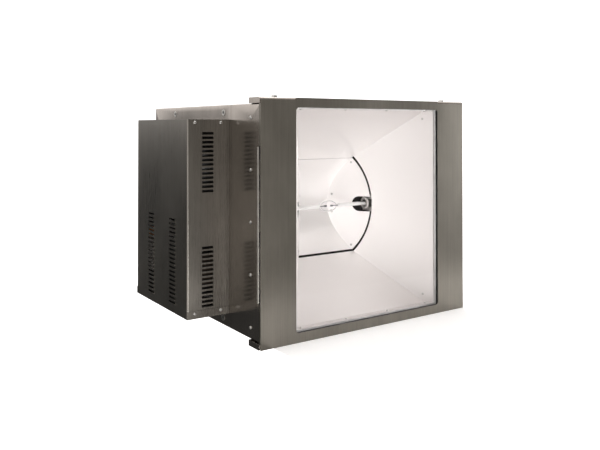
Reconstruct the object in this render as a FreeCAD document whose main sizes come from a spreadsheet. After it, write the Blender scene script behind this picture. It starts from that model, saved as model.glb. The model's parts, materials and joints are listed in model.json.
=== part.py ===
import FreeCAD, Part
import math
import os

import Sketcher
from FreeCAD import Placement, Rotation, Vector

# Grow lamp: a stainless box luminaire with a hinged glass door, a faceted reflector round a
# double-ended metal halide lamp, and a louvred control gear box on its left side.
#
# Design coordinates: X runs from the door's left edge to the right, Y runs from the door's
# front face into the depth, Z runs up from the door's bottom edge. Every sub-part is then
# moved by origin_x and origin_y, so the part's own origin is at the bottom centre of its box.

DIMENSIONS = {
    # part origin, in design coordinates
    "origin_x": 262.35, "origin_y": 298.9,
    # stainless sheet of the housing, and bright sheet of the reflector
    "sheet": 1.2, "bright_sheet": 1.0,
    # door: front plate, opening, side flanges, and the folded channels along its top and bottom
    "door_width": 630.0, "door_height": 550.0, "plate": 1.5, "stile": 93.0, "rail": 22.0,
    "stile_drop": 5.5, "opening_radius": 8.0, "flange_depth": 8.0,
    "channel_depth": 49.0, "channel_height": 13.5, "channel_overhang": 2.0, "channel_bend": 5.0,
    # clearance between the door and the housing, and between loosely fitted sheets
    "clearance": 0.3,
    # glass unit: pane, gasket round its edge, and the retaining strips behind it
    "glass": 4.0, "glass_front": 3.2, "glass_edge_x": 88.0, "glass_edge_z": 17.5,
    "gasket_x": 85.5, "gasket_z": 15.0, "gasket_back": 9.2,
    "strip_foot": 27.0, "strip_lip": 14.0,
    # hinge: continuous, along the left edge
    "hinge_x": -1.0, "hinge_y": 8.5, "hinge_low": 101.0, "hinge_high": 441.0,
    "barrel_radius": 3.2, "bore_radius": 1.56, "pin_radius": 1.5, "knuckle_gap": 0.4,
    "leaf": 1.2, "leaf_width": 22.0, "knuckle_count": 11,
    # clamp bolts through the door's top channel
    "clamp_x": 52.0, "clamp_y": 29.0, "clamp_hole": 4.5, "clamp_shank": 3.9, "clamp_bore": 4.0,
    "clamp_flats": 13.0, "clamp_head": 5.3, "clamp_nut": 6.5, "clamp_backed_off": 0.4,
    # housing: two shells with rounded bends that meet at a lapped seam, and a rear panel
    "bend": 3.5, "side_inset": 2.0, "shell_front": 9.5, "hinge_relief": 12.3, "cap_front": 14.2,
    "seam_y": 138.0, "seam_gap": 1.0, "lap": 12.0, "housing_rear": 594.0, "rear_flange": 18.0,
    "shell_screw_y": 46.5, "shell_screw_low": 39.0, "shell_screw_pitch": 116.5,
    # pan-head screws
    "head_radius": 4.0, "head_height": 2.6, "screw_radius": 2.0, "screw_hole": 2.1,
    "screw_length": 9.0, "socket": 2.6,
    # threaded inserts that the suspension yoke bolts into, the same on both sides
    "insert_y": 176.0, "insert_pitch_y": 280.0, "insert_z": 31.5, "insert_pitch_z": 487.0,
    "insert_bore": 3.4, "insert_barrel": 5.0, "insert_flange": 7.5, "insert_collar": 1.0,
    "insert_length": 14.0, "insert_hole": 5.05,
    # reflector: frame plate behind the door, a four-sided hopper and a parabolic trough
    "frame_y": 14.0, "opening_half": 222.0, "opening_y": 10.0, "mouth_half": 90.3,
    "mouth_y": 187.0, "mouth_height": 128.6, "ledge_z": 24.5, "ledge_back": 34.0,
    "frame_flange": 60.0, "ledge_screw_pitch": 130.0, "ledge_screw_y": 23.0,
    "ledge_head_radius": 3.2, "ledge_screw_length": 6.8,
    "trough_vertex": 248.0, "trough_gap": 4.5, "arc_depth": 50.4, "end_plate_corner": 124.6,
    "roof_overhang": 5.5, "corner_inset": 7.5,
    "end_plate_back": 80.0, "slot_half": 20.0, "slot_end": 5.0, "rivet_radius": 1.6,
    "rivet_head": 3.0, "rivet_dome": 1.0, "corner_rivet_y": 37.0, "corner_rivet_up": 230.0,
    # lamp: double-ended, short arc, along X
    "lamp_y": 180.0, "bulb_radius": 15.0, "bulb_half": 31.0, "cavity_radius": 12.8,
    "cavity_half": 23.0, "stem_radius": 5.0, "stem_end": 122.0, "arc_half": 7.0,
    "electrode_radius": 1.2, "electrode_tip": 2.4, "electrode_tip_length": 6.0,
    "electrode_end": 29.0, "base_radius": 10.5, "base_end": 170.0, "collar_radius": 16.0,
    "collar_bore": 10.5, "collar_length": 3.5, "lamp_pin": 4.0, "lamp_end": 177.5,
    # lamp holders and the uprights that carry them
    "holder_near": 132.0, "holder_far": 162.0, "holder_half": 21.0, "holder_front": 165.0,
    "holder_fit": 10.6, "upright_y": 200.0, "upright": 2.0, "upright_near": 130.0,
    "upright_far": 190.0, "upright_foot": 24.0, "arm_half": 100.0,
    "clip": 1.2, "clip_half": 13.0,
    # heat shield between the reflector and the rear of the housing
    "shield_y": 264.0, "shield_half": 200.0, "shield_foot": 22.0,
    # control gear box on the left side
    "box_left": -105.0, "box_front": 147.0, "box_back": 456.0, "box_bottom": 48.5,
    "box_top": 501.5, "tray_lip": 17.5, "lid_lip": 14.0,
    "box_screw_a": -86.5, "box_screw_b": -20.5, "box_screw_top": 494.0, "box_screw_low": 60.0,
    # louvres: a slot with a lip pressed out below it
    "louvre_pitch": 10.2, "slot_height": 5.0, "lip_reach": 2.3, "lip_rise": 2.2, "lip_root": 0.4,
    "front_louvre_x": -54.0, "front_louvre_length": 28.0, "front_louvre_top": 469.8,
    "front_louvre_mid": 207.5, "front_louvre_count": 14,
    "side_louvre_near": 230.0, "side_louvre_far": 360.0, "side_louvre_length": 35.0,
    "side_louvre_top": 265.5, "side_louvre_count": 20,
    # gear inside the box; the igniter and the terminal blocks stand on a bracket at its rear
    "gear_plate_x": -4.0, "gear_plate": 1.5, "gear_front": 158.0, "gear_back": 445.0,
    "gear_low": 66.0, "gear_high": 480.0, "spacer_radius": 5.0, "spacer_inset": 15.0,
    "core_depth": 84.0, "core_front": 178.0, "core_back": 282.0, "core_low": 92.0,
    "core_high": 212.0, "coil_margin": 12.0, "coil_out": 16.0,
    "bracket": 1.5, "bracket_left": -97.0, "bracket_back": 443.0, "bracket_foot": 20.0,
    "bracket_low": 112.0, "bracket_high": 230.0,
    "igniter_left": -100.0, "igniter_right": -20.0, "igniter_front": 394.0,
    "igniter_low": 202.0, "igniter_high": 224.0, "igniter_round": 4.0,
    "block_left": -98.0, "block_right": -66.0, "block_front": 414.0, "block_margin": 2.0,
    "block_a": 150.0, "block_b": 116.0, "pole_pitch": 9.5, "pole_radius": 2.6,
    "poles_a": 4, "poles_b": 2,
    "can_radius": 25.0, "can_x": -32.0, "can_low": 322.0, "can_high": 438.0,
    "can_front": 215.0, "can_rear": 395.0, "clip_band": 14.0,
    # supply cable gland in the box's tray, and the grommets where the lamp leads enter
    "gland_x": -52.0, "gland_y": 418.0, "gland_bore": 6.5, "gland_thread": 10.0,
    "gland_body": 12.5, "gland_body_length": 11.0, "gland_cap": 11.5, "gland_cap_length": 9.0,
    "gland_nut_height": 5.0, "gland_inside": 8.0, "gland_flats": 25.0,
    "lead_radius": 3.0, "lead_bend": 14.0, "lead_x": -35.0, "lead_a": 404.0, "lead_b": 430.0,
    "lead_z": 275.0, "lead_turn_left": 72.0, "lead_turn_right": 558.0,
    "grommet_radius": 9.0, "grommet_hole": 7.0, "grommet_bore": 3.1, "grommet_lip": 1.5,
    # earth stud below the gear plate's top edge
    "stud_y": 302.0, "stud_z": 455.0, "stud_radius": 3.0, "stud_length": 22.0,
    "stud_flats": 10.0, "stud_nut": 5.0,
}

os.makedirs("parts", exist_ok=True)
doc = FreeCAD.newDocument("grow_lamp")
table = doc.addObject("Spreadsheet::Sheet", "Dims")
for row, (alias, value) in enumerate(DIMENSIONS.items(), start=1):
    table.set("A%d" % row, alias)
    table.set("B%d" % row, str(value))
    table.setAlias("B%d" % row, alias)
doc.recompute()


# ---------------------------------------------------------------- sizes that carry formulas

class Size:
    """A length with its formula on the spreadsheet and its present value."""

    def __init__(self, formula, value):
        self.formula = formula
        self.value = float(value)

    def __add__(self, other):
        other = as_size(other)
        return Size("(%s + %s)" % (self.formula, other.formula), self.value + other.value)

    def __sub__(self, other):
        other = as_size(other)
        return Size("(%s - %s)" % (self.formula, other.formula), self.value - other.value)

    def __mul__(self, other):
        other = as_size(other)
        return Size("(%s * %s)" % (self.formula, other.formula), self.value * other.value)

    def __truediv__(self, other):
        other = as_size(other)
        return Size("(%s / %s)" % (self.formula, other.formula), self.value / other.value)

    def __radd__(self, other):
        return as_size(other) + self

    def __rsub__(self, other):
        return as_size(other) - self

    def __rmul__(self, other):
        return as_size(other) * self

    def __neg__(self):
        return Size("(0 - %s)" % self.formula, -self.value)


def as_size(number):
    if isinstance(number, Size):
        return number
    return Size("%.10g" % number, number)


def root(size):
    return Size("sqrt(%s)" % size.formula, math.sqrt(size.value))


class Cells:
    """Gives each spreadsheet cell as a Size under its alias."""

    def __getattr__(self, alias):
        return Size("Dims." + alias, table.get(alias))


D = Cells()


def bind(obj, path, size):
    obj.setExpression(path, as_size(size).formula)


# ---------------------------------------------------------------- general helpers

subparts = []


def finished(obj, label):
    """Registers an object as a sub-part under the name of its file."""
    obj.Label = label
    subparts.append(obj)
    return obj


def place(obj, x=0, y=0, z=0, rotation=None):
    """Places an object at a design position, in the part's own frame."""
    if rotation is not None:
        obj.Placement = Placement(Vector(0, 0, 0), rotation)
    bind(obj, ".Placement.Base.x", x - D.origin_x)
    bind(obj, ".Placement.Base.y", y - D.origin_y)
    bind(obj, ".Placement.Base.z", z)


def box(name, x, y, z):
    """A Part::Box between the low and high limits given for each axis."""
    block = doc.addObject("Part::Box", name)
    bind(block, "Length", x[1] - x[0])
    bind(block, "Width", y[1] - y[0])
    bind(block, "Height", z[1] - z[0])
    place(block, x[0], y[0], z[0])
    return block


TURNS = {
    "+X": Rotation(Vector(0, 1, 0), 90), "-X": Rotation(Vector(0, 1, 0), -90),
    "+Y": Rotation(Vector(1, 0, 0), -90), "-Y": Rotation(Vector(1, 0, 0), 90),
    "+Z": Rotation(), "-Z": Rotation(Vector(1, 0, 0), 180),
}


def rod(name, x, y, z, toward, radius, length):
    """A Part::Cylinder that starts at a point and runs towards an axis direction."""
    cylinder = doc.addObject("Part::Cylinder", name)
    bind(cylinder, "Radius", radius)
    bind(cylinder, "Height", length)
    place(cylinder, x, y, z, TURNS[toward])
    return cylinder


def hexagon(name, x, y, z, toward, flats, length):
    """A hexagonal Part::Prism, given by its width across flats."""
    prism = doc.addObject("Part::Prism", name)
    prism.Polygon = 6
    bind(prism, "Circumradius", flats / math.sqrt(3))
    bind(prism, "Height", length)
    place(prism, x, y, z, TURNS[toward])
    return prism


def cut(name, base, tools):
    """The base less every tool."""
    tool = tools[0] if len(tools) == 1 else fuse(name + "_tools", tools)
    result = doc.addObject("Part::Cut", name)
    result.Base = base
    result.Tool = tool
    return result


def fuse(name, shapes):
    result = doc.addObject("Part::MultiFuse", name)
    result.Shapes = shapes
    return result


def group(label, pieces):
    """Several separate, identical pieces kept in one node."""
    result = doc.addObject("Part::Compound", label)
    result.Links = pieces
    return finished(result, label)


# ---------------------------------------------------------------- sketches and features

def new_body(label, x=0, y=0, z=0, rotation=None):
    body = doc.addObject("PartDesign::Body", label)
    place(body, x, y, z, rotation)
    return finished(body, label)


def upside_down_body(label, upside_down):
    """A body drawn for the top of the part; upside down, it is the same piece at the bottom."""
    if not upside_down:
        return new_body(label)
    return new_body(label, D.door_width, 0, D.door_height, Rotation(Vector(0, 1, 0), 180))


def sketch_on(body, role, offset=0):
    """A sketch on one of the body's own origin planes, moved along the plane's axis."""
    sketch = body.newObject("Sketcher::SketchObject", body.Name + "_sketch")
    plane = [item for item in body.Origin.OriginFeatures if item.Role == role][0]
    sketch.AttachmentSupport = (plane, "")
    sketch.MapMode = "FlatFace"
    along = -as_size(offset) if role == "XZ_Plane" else as_size(offset)
    bind(sketch, ".AttachmentOffset.Base.z", along)
    return sketch


def fix_point(sketch, edge, end, point):
    """Holds a point of the sketch at a position measured from the sketch's origin."""
    for kind, size in zip(("DistanceX", "DistanceY"), point):
        size = as_size(size)
        index = sketch.addConstraint(Sketcher.Constraint(kind, -1, 1, edge, end, size.value))
        bind(sketch, "Constraints[%d]" % index, size)


def outline(sketch, corners):
    """A closed outline of straight lines through the corners."""
    first = sketch.GeometryCount
    count = len(corners)
    spots = [Vector(as_size(u).value, as_size(v).value, 0) for u, v in corners]
    for index in range(count):
        line = Part.LineSegment(spots[index], spots[(index + 1) % count])
        sketch.addGeometry(line, False)
    for index in range(count):
        following = first + (index + 1) % count
        sketch.addConstraint(Sketcher.Constraint("Coincident", first + index, 2, following, 1))
    for index, corner in enumerate(corners):
        fix_point(sketch, first + index, 1, corner)


def rectangle(sketch, u, v):
    outline(sketch, [(u[0], v[0]), (u[1], v[0]), (u[1], v[1]), (u[0], v[1])])


def circle(sketch, centre, radius):
    spot = Vector(as_size(centre[0]).value, as_size(centre[1]).value, 0)
    radius = as_size(radius)
    edge = sketch.addGeometry(Part.Circle(spot, Vector(0, 0, 1), radius.value), False)
    fix_point(sketch, edge, 3, centre)
    index = sketch.addConstraint(Sketcher.Constraint("Radius", edge, radius.value))
    bind(sketch, "Constraints[%d]" % index, radius)


def pad(body, sketch, length, backwards=False):
    feature = body.newObject("PartDesign::Pad", body.Name + "_pad")
    feature.Profile = sketch
    feature.Reversed = backwards
    bind(feature, "Length", length)
    return feature


def pocket(body, sketch, length=None, backwards=False):
    """Cuts to a length, or through everything on both sides when no length is given."""
    feature = body.newObject("PartDesign::Pocket", body.Name + "_pocket")
    feature.Profile = sketch
    if length is None:
        feature.Type = "ThroughAll"
        feature.Midplane = True
    else:
        feature.Reversed = backwards
        bind(feature, "Length", length)
    return feature


def drill(body, role, centres, radius, offset=0, length=None, backwards=False):
    sketch = sketch_on(body, role, offset)
    for centre in centres:
        circle(sketch, centre, radius)
    return pocket(body, sketch, length, backwards)


def pattern_down(body, features, sketch, count, pitch):
    """Repeats features downwards along the sketch's vertical axis."""
    pattern = body.newObject("PartDesign::LinearPattern", body.Name + "_pattern")
    pattern.Originals = features
    pattern.Direction = (sketch, ["V_Axis"])
    pattern.Reversed = True
    bind(pattern, "Length", (count - 1) * pitch)
    pattern.Occurrences = int(count.value)
    body.Tip = pattern
    return pattern


def round_edges(body, feature, radius, chosen):
    """Fillets the edges of a feature that the chosen test picks by their middle point."""
    doc.recompute()
    names = []
    for index, edge in enumerate(feature.Shape.Edges, start=1):
        middle = edge.valueAt((edge.FirstParameter + edge.LastParameter) / 2)
        if chosen(edge, middle):
            names.append("Edge%d" % index)
    fillet = body.newObject("PartDesign::Fillet", body.Name + "_fillet")
    fillet.Base = (feature, names)
    bind(fillet, "Radius", radius)
    return fillet


# ---------------------------------------------------------------- screws

def screw(name, x, y, z, toward, head=None, length=None):
    """A pan-head screw with a hexagon socket; its head stands towards the given direction."""
    head = D.head_radius if head is None else head
    length = D.screw_length if length is None else length
    cap = doc.addObject("Part::Cylinder", name + "_head")
    bind(cap, "Radius", head)
    bind(cap, "Height", D.head_height)
    shank = doc.addObject("Part::Cylinder", name + "_shank")
    bind(shank, "Radius", D.screw_radius)
    bind(shank, "Height", length)
    bind(shank, ".Placement.Base.z", -length)
    socket = doc.addObject("Part::Prism", name + "_socket")
    socket.Polygon = 6
    bind(socket, "Circumradius", D.socket / math.sqrt(3))
    bind(socket, "Height", D.head_height)
    bind(socket, ".Placement.Base.z", D.head_height / 2)
    piece = cut(name, fuse(name + "_solid", [cap, shank]), [socket])
    place(piece, x, y, z, TURNS[toward])
    return piece


# ---------------------------------------------------------------- places used by many pieces

middle_x = D.door_width / 2
middle_z = D.door_height / 2
wall_left = D.side_inset
wall_right = D.door_width - D.side_inset
floor_z = D.channel_height
roof_z = D.door_height - D.channel_height
inside_left = wall_left + D.sheet
inside_right = wall_right - D.sheet
inside_floor = floor_z + D.sheet
inside_roof = roof_z - D.sheet
opening_left = D.stile
opening_right = D.door_width - D.stile
shell_screw_heights = [D.shell_screw_low + index * D.shell_screw_pitch for index in range(5)]
insert_places = [(D.insert_y + column * D.insert_pitch_y, D.insert_z + row * D.insert_pitch_z)
                 for column in (0, 1) for row in (0, 1)]
# sideways narrowing of the hopper for each millimetre of depth, and the slant length of that
narrowing = (D.opening_half - D.mouth_half) / (D.mouth_y - D.opening_y)
slant = root(narrowing * narrowing + 1)
hopper_y = D.frame_y + D.sheet


def hopper_half(y):
    """Half the hopper's width between its side faces at a depth."""
    return D.opening_half - narrowing * (y - D.opening_y)


# ---------------------------------------------------------------- door

def door_frame():
    body = new_body("door_frame")
    face = sketch_on(body, "XZ_Plane")
    shoulder = D.door_height - D.stile_drop
    outline(face, [(0, 0), (D.door_width, 0), (D.door_width, shoulder), (opening_right, shoulder),
                   (opening_right, D.door_height), (opening_left, D.door_height),
                   (opening_left, shoulder), (0, shoulder)])
    pad(body, face, D.plate, True)
    window = sketch_on(body, "XZ_Plane")
    rectangle(window, (opening_left, opening_right), (D.rail, D.door_height - D.rail))
    opening = pocket(body, window)
    round_edges(body, opening, D.opening_radius,
                lambda edge, at: edge.Length < D.plate.value + 0.01
                and abs(at.y - D.plate.value / 2) < 0.01
                and opening_left.value - 1 < at.x < opening_right.value + 1
                and D.rail.value - 1 < at.z < (D.door_height - D.rail).value + 1)
    flanges = sketch_on(body, "XZ_Plane")
    rectangle(flanges, (0, D.plate), (D.channel_height, D.hinge_low - 1))
    rectangle(flanges, (0, D.plate), (D.hinge_high + 1, roof_z))
    rectangle(flanges, (D.door_width - D.plate, D.door_width), (D.channel_height, roof_z))
    pad(body, flanges, D.flange_depth, True)


def door_channel(label, upside_down):
    """A folded edge with a rounded bend, end flaps and a rear lip, open towards the housing."""
    body = upside_down_body(label, upside_down)
    low = roof_z + D.clearance
    high = D.door_height
    section = sketch_on(body, "YZ_Plane", -D.channel_overhang)
    rectangle(section, (D.plate, D.channel_depth), (low, high))
    length = D.door_width + 2 * D.channel_overhang
    bar = pad(body, section, length)
    round_edges(body, bar, D.channel_bend,
                lambda edge, at: abs(at.y - D.plate.value) < 0.01
                and abs(at.z - high.value) < 0.01)
    hollow = sketch_on(body, "YZ_Plane", D.sheet - D.channel_overhang)
    front = D.plate + D.sheet
    back = D.channel_depth - D.sheet
    web = high - D.sheet
    slope = D.channel_bend / 2
    outline(hollow, [(front, low - 1), (back, low - 1), (back, web), (front + slope, web),
                     (front, web - slope)])
    pocket(body, hollow, length - 2 * D.sheet, True)
    return body


def door_channels():
    top = door_channel("door_top_channel", False)
    drill(top, "XY_Plane", clamp_places(), D.clamp_hole)
    door_channel("door_bottom_channel", True)


def clamp_places():
    return [(D.clamp_x, D.clamp_y), (D.door_width - D.clamp_x, D.clamp_y)]


def clamps():
    """Two bolts that lock the door against the roof, with weld nuts under the channel's web."""
    bolts = []
    nuts = []
    tip = roof_z + D.clamp_backed_off
    nut_low = D.door_height - D.sheet - D.clamp_nut
    for index, (x, y) in enumerate(clamp_places()):
        head = hexagon("clamp_head_%d" % index, x, y, D.door_height, "+Z", D.clamp_flats,
                       D.clamp_head)
        shank = rod("clamp_shank_%d" % index, x, y, tip, "+Z", D.clamp_shank,
                    D.door_height - tip)
        bolts.append(fuse("clamp_bolt_%d" % index, [head, shank]))
        blank = hexagon("clamp_blank_%d" % index, x, y, nut_low, "+Z", D.clamp_flats,
                        D.clamp_nut)
        bore = rod("clamp_bore_%d" % index, x, y, roof_z, "+Z", D.clamp_bore, D.clamp_nut * 2)
        nuts.append(cut("clamp_nut_%d" % index, blank, [bore]))
    group("clamp_bolts", bolts)
    group("clamp_nuts", nuts)


def glass_unit():
    glass_x = (D.glass_edge_x, D.door_width - D.glass_edge_x)
    glass_z = (D.glass_edge_z, D.door_height - D.glass_edge_z)
    glass_y = (D.glass_front, D.glass_front + D.glass)
    finished(box("glass_pane", glass_x, glass_y, glass_z), "glass_pane")
    ring = box("gasket_ring", (D.gasket_x, D.door_width - D.gasket_x), (D.plate, D.gasket_back),
               (D.gasket_z, D.door_height - D.gasket_z))
    window = box("gasket_window", (opening_left, opening_right), (as_size(0), D.gasket_back + 1),
                 (D.rail, D.door_height - D.rail))
    groove = box("gasket_groove", glass_x, glass_y, glass_z)
    finished(cut("glass_gasket", ring, [window, groove]), "glass_gasket")


def glass_retainers():
    """A Z-section strip down each side of the glass, screwed to the back of the door."""
    strips = []
    screws = []
    for side in (0, 1):
        def across(low, high):
            if side == 0:
                return (low, high)
            return (D.door_width - high, D.door_width - low)
        riser = D.gasket_x - D.sheet - D.clearance
        height = (D.glass_edge_z, D.door_height - D.glass_edge_z)
        foot = box("retainer_foot_%d" % side, across(riser + D.sheet - D.strip_foot,
                   riser + D.sheet), (D.plate, D.plate + D.sheet), height)
        web = box("retainer_web_%d" % side, across(riser, riser + D.sheet),
                  (D.plate, D.gasket_back + D.sheet), height)
        lip = box("retainer_lip_%d" % side, across(riser, riser + D.strip_lip),
                  (D.gasket_back, D.gasket_back + D.sheet), height)
        strips.append(fuse("retainer_%d" % side, [foot, web, lip]))
        x = riser - D.strip_foot / 2
        x = x if side == 0 else D.door_width - x
        for index, z in enumerate(shell_screw_heights):
            screws.append(rod("retainer_nut_%d_%d" % (side, index), x, D.plate + D.sheet, z,
                              "+Y", D.head_radius, D.head_height))
    group("glass_retainers", strips)
    group("retainer_nuts", screws)


# ---------------------------------------------------------------- hinge

def hinge():
    """Knuckles alternate between the door's leaf and the housing's leaf round one pin."""
    count = int(D.knuckle_count.value)
    pitch = (D.hinge_high - D.hinge_low) / D.knuckle_count
    bore = rod("hinge_bore_a", D.hinge_x, D.hinge_y, D.hinge_low - 1, "+Z", D.bore_radius,
               D.hinge_high - D.hinge_low + 2)
    bore_b = rod("hinge_bore_b", D.hinge_x, D.hinge_y, D.hinge_low - 1, "+Z", D.bore_radius,
                 D.hinge_high - D.hinge_low + 2)
    height = (D.hinge_low, D.hinge_high)
    web_x = D.hinge_x + D.barrel_radius - D.leaf
    door_parts = [box("door_leaf", (web_x, web_x + D.leaf_width), (D.plate, D.plate + D.leaf),
                      height)]
    tab_y = D.hinge_y + D.barrel_radius - D.leaf
    house_parts = [box("housing_leaf", (inside_left, inside_left + D.leaf),
                       (tab_y, tab_y + D.leaf_width + D.leaf), height)]
    for index in range(count):
        low = D.hinge_low + index * pitch + D.knuckle_gap / 2
        high = D.hinge_low + (index + 1) * pitch - D.knuckle_gap / 2
        barrel = rod("knuckle_%d" % index, D.hinge_x, D.hinge_y, low, "+Z", D.barrel_radius,
                     high - low)
        if index % 2:
            tab = box("knuckle_tab_%d" % index, (web_x, web_x + D.leaf), (D.plate, D.hinge_y),
                      (low, high))
            door_parts += [barrel, tab]
        else:
            tab = box("knuckle_tab_%d" % index, (D.hinge_x, inside_left + D.leaf),
                      (tab_y, tab_y + D.leaf), (low, high))
            house_parts += [barrel, tab]
    finished(cut("hinge_door_leaf", fuse("door_leaf_solid", door_parts), [bore]),
             "hinge_door_leaf")
    finished(cut("hinge_housing_leaf", fuse("housing_leaf_solid", house_parts), [bore_b]),
             "hinge_housing_leaf")
    finished(rod("hinge_pin", D.hinge_x, D.hinge_y, D.hinge_low, "+Z", D.pin_radius,
                 D.hinge_high - D.hinge_low), "hinge_pin")


# ---------------------------------------------------------------- housing shells

def on_corner(at, left, right, low, high):
    """Whether a point lies on one of the four corner lines that run into the depth."""
    return (min(abs(at.x - left.value), abs(at.x - right.value)) < 0.01
            and min(abs(at.z - low.value), abs(at.z - high.value)) < 0.01)


def bend_shell(body, ring):
    """Rounds a shell's four bends outside and inside, so the sheet keeps its thickness."""
    outside = round_edges(body, ring, D.bend, lambda edge, at:
                          on_corner(at, wall_left, wall_right, floor_z, roof_z))
    return round_edges(body, outside, D.bend - D.sheet, lambda edge, at:
                       on_corner(at, inside_left, inside_right, inside_floor, inside_roof))


def front_shell():
    body = new_body("front_shell")
    ring = sketch_on(body, "XZ_Plane", D.shell_front)
    rectangle(ring, (wall_left, wall_right), (floor_z, roof_z))
    rectangle(ring, (inside_left, inside_right), (inside_floor, inside_roof))
    bend_shell(body, pad(body, ring, D.seam_y - D.shell_front, True))
    relief = sketch_on(body, "YZ_Plane")
    rectangle(relief, (D.shell_front - 1, D.hinge_relief), (D.hinge_low - 3, D.hinge_high + 3))
    pocket(body, relief, inside_left + 1, True)
    drill(body, "YZ_Plane", [(D.shell_screw_y, z) for z in shell_screw_heights], D.screw_hole)


def rear_shell():
    """Laps inside the front shell, and turns in at the back to carry the rear panel."""
    body = new_body("rear_shell")
    ring = sketch_on(body, "XZ_Plane", D.seam_y + D.seam_gap)
    rectangle(ring, (wall_left, wall_right), (floor_z, roof_z))
    rectangle(ring, (inside_left, inside_right), (inside_floor, inside_roof))
    bend_shell(body, pad(body, ring, D.housing_rear - D.seam_y - D.seam_gap, True))
    lap = sketch_on(body, "XZ_Plane", D.seam_y - D.lap)
    rectangle(lap, (inside_left, inside_right), (inside_floor, inside_roof))
    rectangle(lap, (inside_left + D.sheet, inside_right - D.sheet),
              (inside_floor + D.sheet, inside_roof - D.sheet))
    lapped = pad(body, lap, 2 * D.lap, True)
    round_edges(body, lapped, D.bend - D.sheet, lambda edge, at: at.y < D.seam_y.value
                and on_corner(at, inside_left, inside_right, inside_floor, inside_roof))
    turn = sketch_on(body, "XZ_Plane", D.housing_rear - D.sheet)
    rectangle(turn, (inside_left, inside_right), (inside_floor, inside_roof))
    rectangle(turn, (inside_left + D.rear_flange, inside_right - D.rear_flange),
              (inside_floor + D.rear_flange, inside_roof - D.rear_flange))
    pad(body, turn, D.sheet, True)
    drill(body, "YZ_Plane", insert_places, D.insert_hole)
    drill(body, "YZ_Plane", [(D.lead_a, D.lead_z), (D.lead_b, D.lead_z)], D.grommet_hole,
          0, inside_left + 1, True)
    drill(body, "XZ_Plane", rear_screw_places(), D.screw_hole, D.housing_rear - 2 * D.sheet,
          4 * D.sheet)


def rear_screw_places():
    inset = D.rear_flange / 2
    columns = [inside_left + inset, middle_x, inside_right - inset]
    rows = [inside_floor + inset, middle_z, inside_roof - inset]
    return [(x, z) for x in columns for z in rows if not (x is middle_x and z is middle_z)]


def rear_panel():
    body = new_body("rear_panel")
    face = sketch_on(body, "XZ_Plane", D.housing_rear)
    rectangle(face, (wall_left, wall_right), (floor_z, roof_z))
    panel = pad(body, face, D.sheet, True)
    round_edges(body, panel, D.bend, lambda edge, at:
                on_corner(at, wall_left, wall_right, floor_z, roof_z))
    drill(body, "XZ_Plane", rear_screw_places(), D.screw_hole)


def housing_screws():
    sides = []
    for index, z in enumerate(shell_screw_heights):
        sides.append(screw("shell_screw_l%d" % index, wall_left, D.shell_screw_y, z, "-X"))
        sides.append(screw("shell_screw_r%d" % index, wall_right, D.shell_screw_y, z, "+X"))
    group("shell_screws", sides)
    backs = [screw("rear_screw_%d" % index, x, D.housing_rear + D.sheet, z, "+Y")
             for index, (x, z) in enumerate(rear_screw_places())]
    group("rear_panel_screws", backs)


def suspension_inserts():
    """Rivet nuts in the side walls: a collar outside and a threaded barrel inside."""
    nuts = []
    for side, wall, inward, outward in ((0, wall_left, "+X", "-X"), (1, wall_right, "-X", "+X")):
        for index, (y, z) in enumerate(insert_places):
            tag = "%d_%d" % (side, index)
            barrel = rod("insert_barrel_" + tag, wall, y, z, inward, D.insert_barrel,
                         D.insert_length)
            collar = rod("insert_collar_" + tag, wall, y, z, outward, D.insert_flange,
                         D.insert_collar)
            start = wall - 2 if side == 0 else wall + 2
            bore = rod("insert_bore_" + tag, start, y, z, inward, D.insert_bore,
                       D.insert_length + 4)
            nuts.append(cut("insert_" + tag, fuse("insert_solid_" + tag, [barrel, collar]),
                            [bore]))
    group("suspension_inserts", nuts)


# ---------------------------------------------------------------- reflector

def ledge_screw_xs():
    return [middle_x + step * D.ledge_screw_pitch for step in (-1.5, -0.5, 0.5, 1.5)]


def reflector_frame():
    """A plate that closes the gap from the reflector's front edge out to the housing walls."""
    body = new_body("reflector_frame")
    plate = sketch_on(body, "XZ_Plane", D.frame_y)
    left = inside_left + D.leaf
    right = inside_right
    half = hopper_half(hopper_y)
    rectangle(plate, (left, right), (inside_floor, inside_roof))
    rectangle(plate, (middle_x - half, middle_x + half),
              (D.ledge_z, D.door_height - D.ledge_z))
    sheet = pad(body, plate, D.sheet, True)
    round_edges(body, sheet, D.bend, lambda edge, at:
                on_corner(at, left, right, inside_floor, inside_roof))
    flanges = sketch_on(body, "XZ_Plane", D.frame_y)
    ends = (inside_floor + D.bend, inside_roof - D.bend)
    rectangle(flanges, (left, left + D.sheet), ends)
    rectangle(flanges, (right - D.sheet, right), ends)
    lip_half = hopper_half(D.ledge_back)
    for low in (D.ledge_z - D.bright_sheet - D.sheet,
                D.door_height - D.ledge_z + D.bright_sheet):
        rectangle(flanges, (middle_x - lip_half, middle_x + lip_half), (low, low + D.sheet))
    pad(body, flanges, D.frame_flange, True)
    trim = sketch_on(body, "YZ_Plane", left + D.sheet + 1)
    rectangle(trim, (D.ledge_back, D.frame_flange + D.frame_y + 1),
              (D.rail - 1, D.door_height - D.rail + 1))
    pocket(body, trim, right - left - 2 * D.sheet - 2, True)
    drill(body, "YZ_Plane", [(D.shell_screw_y, z) for z in shell_screw_heights], D.screw_hole)
    drill(body, "XY_Plane", [(x, D.ledge_screw_y) for x in ledge_screw_xs()], D.screw_hole)


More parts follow.
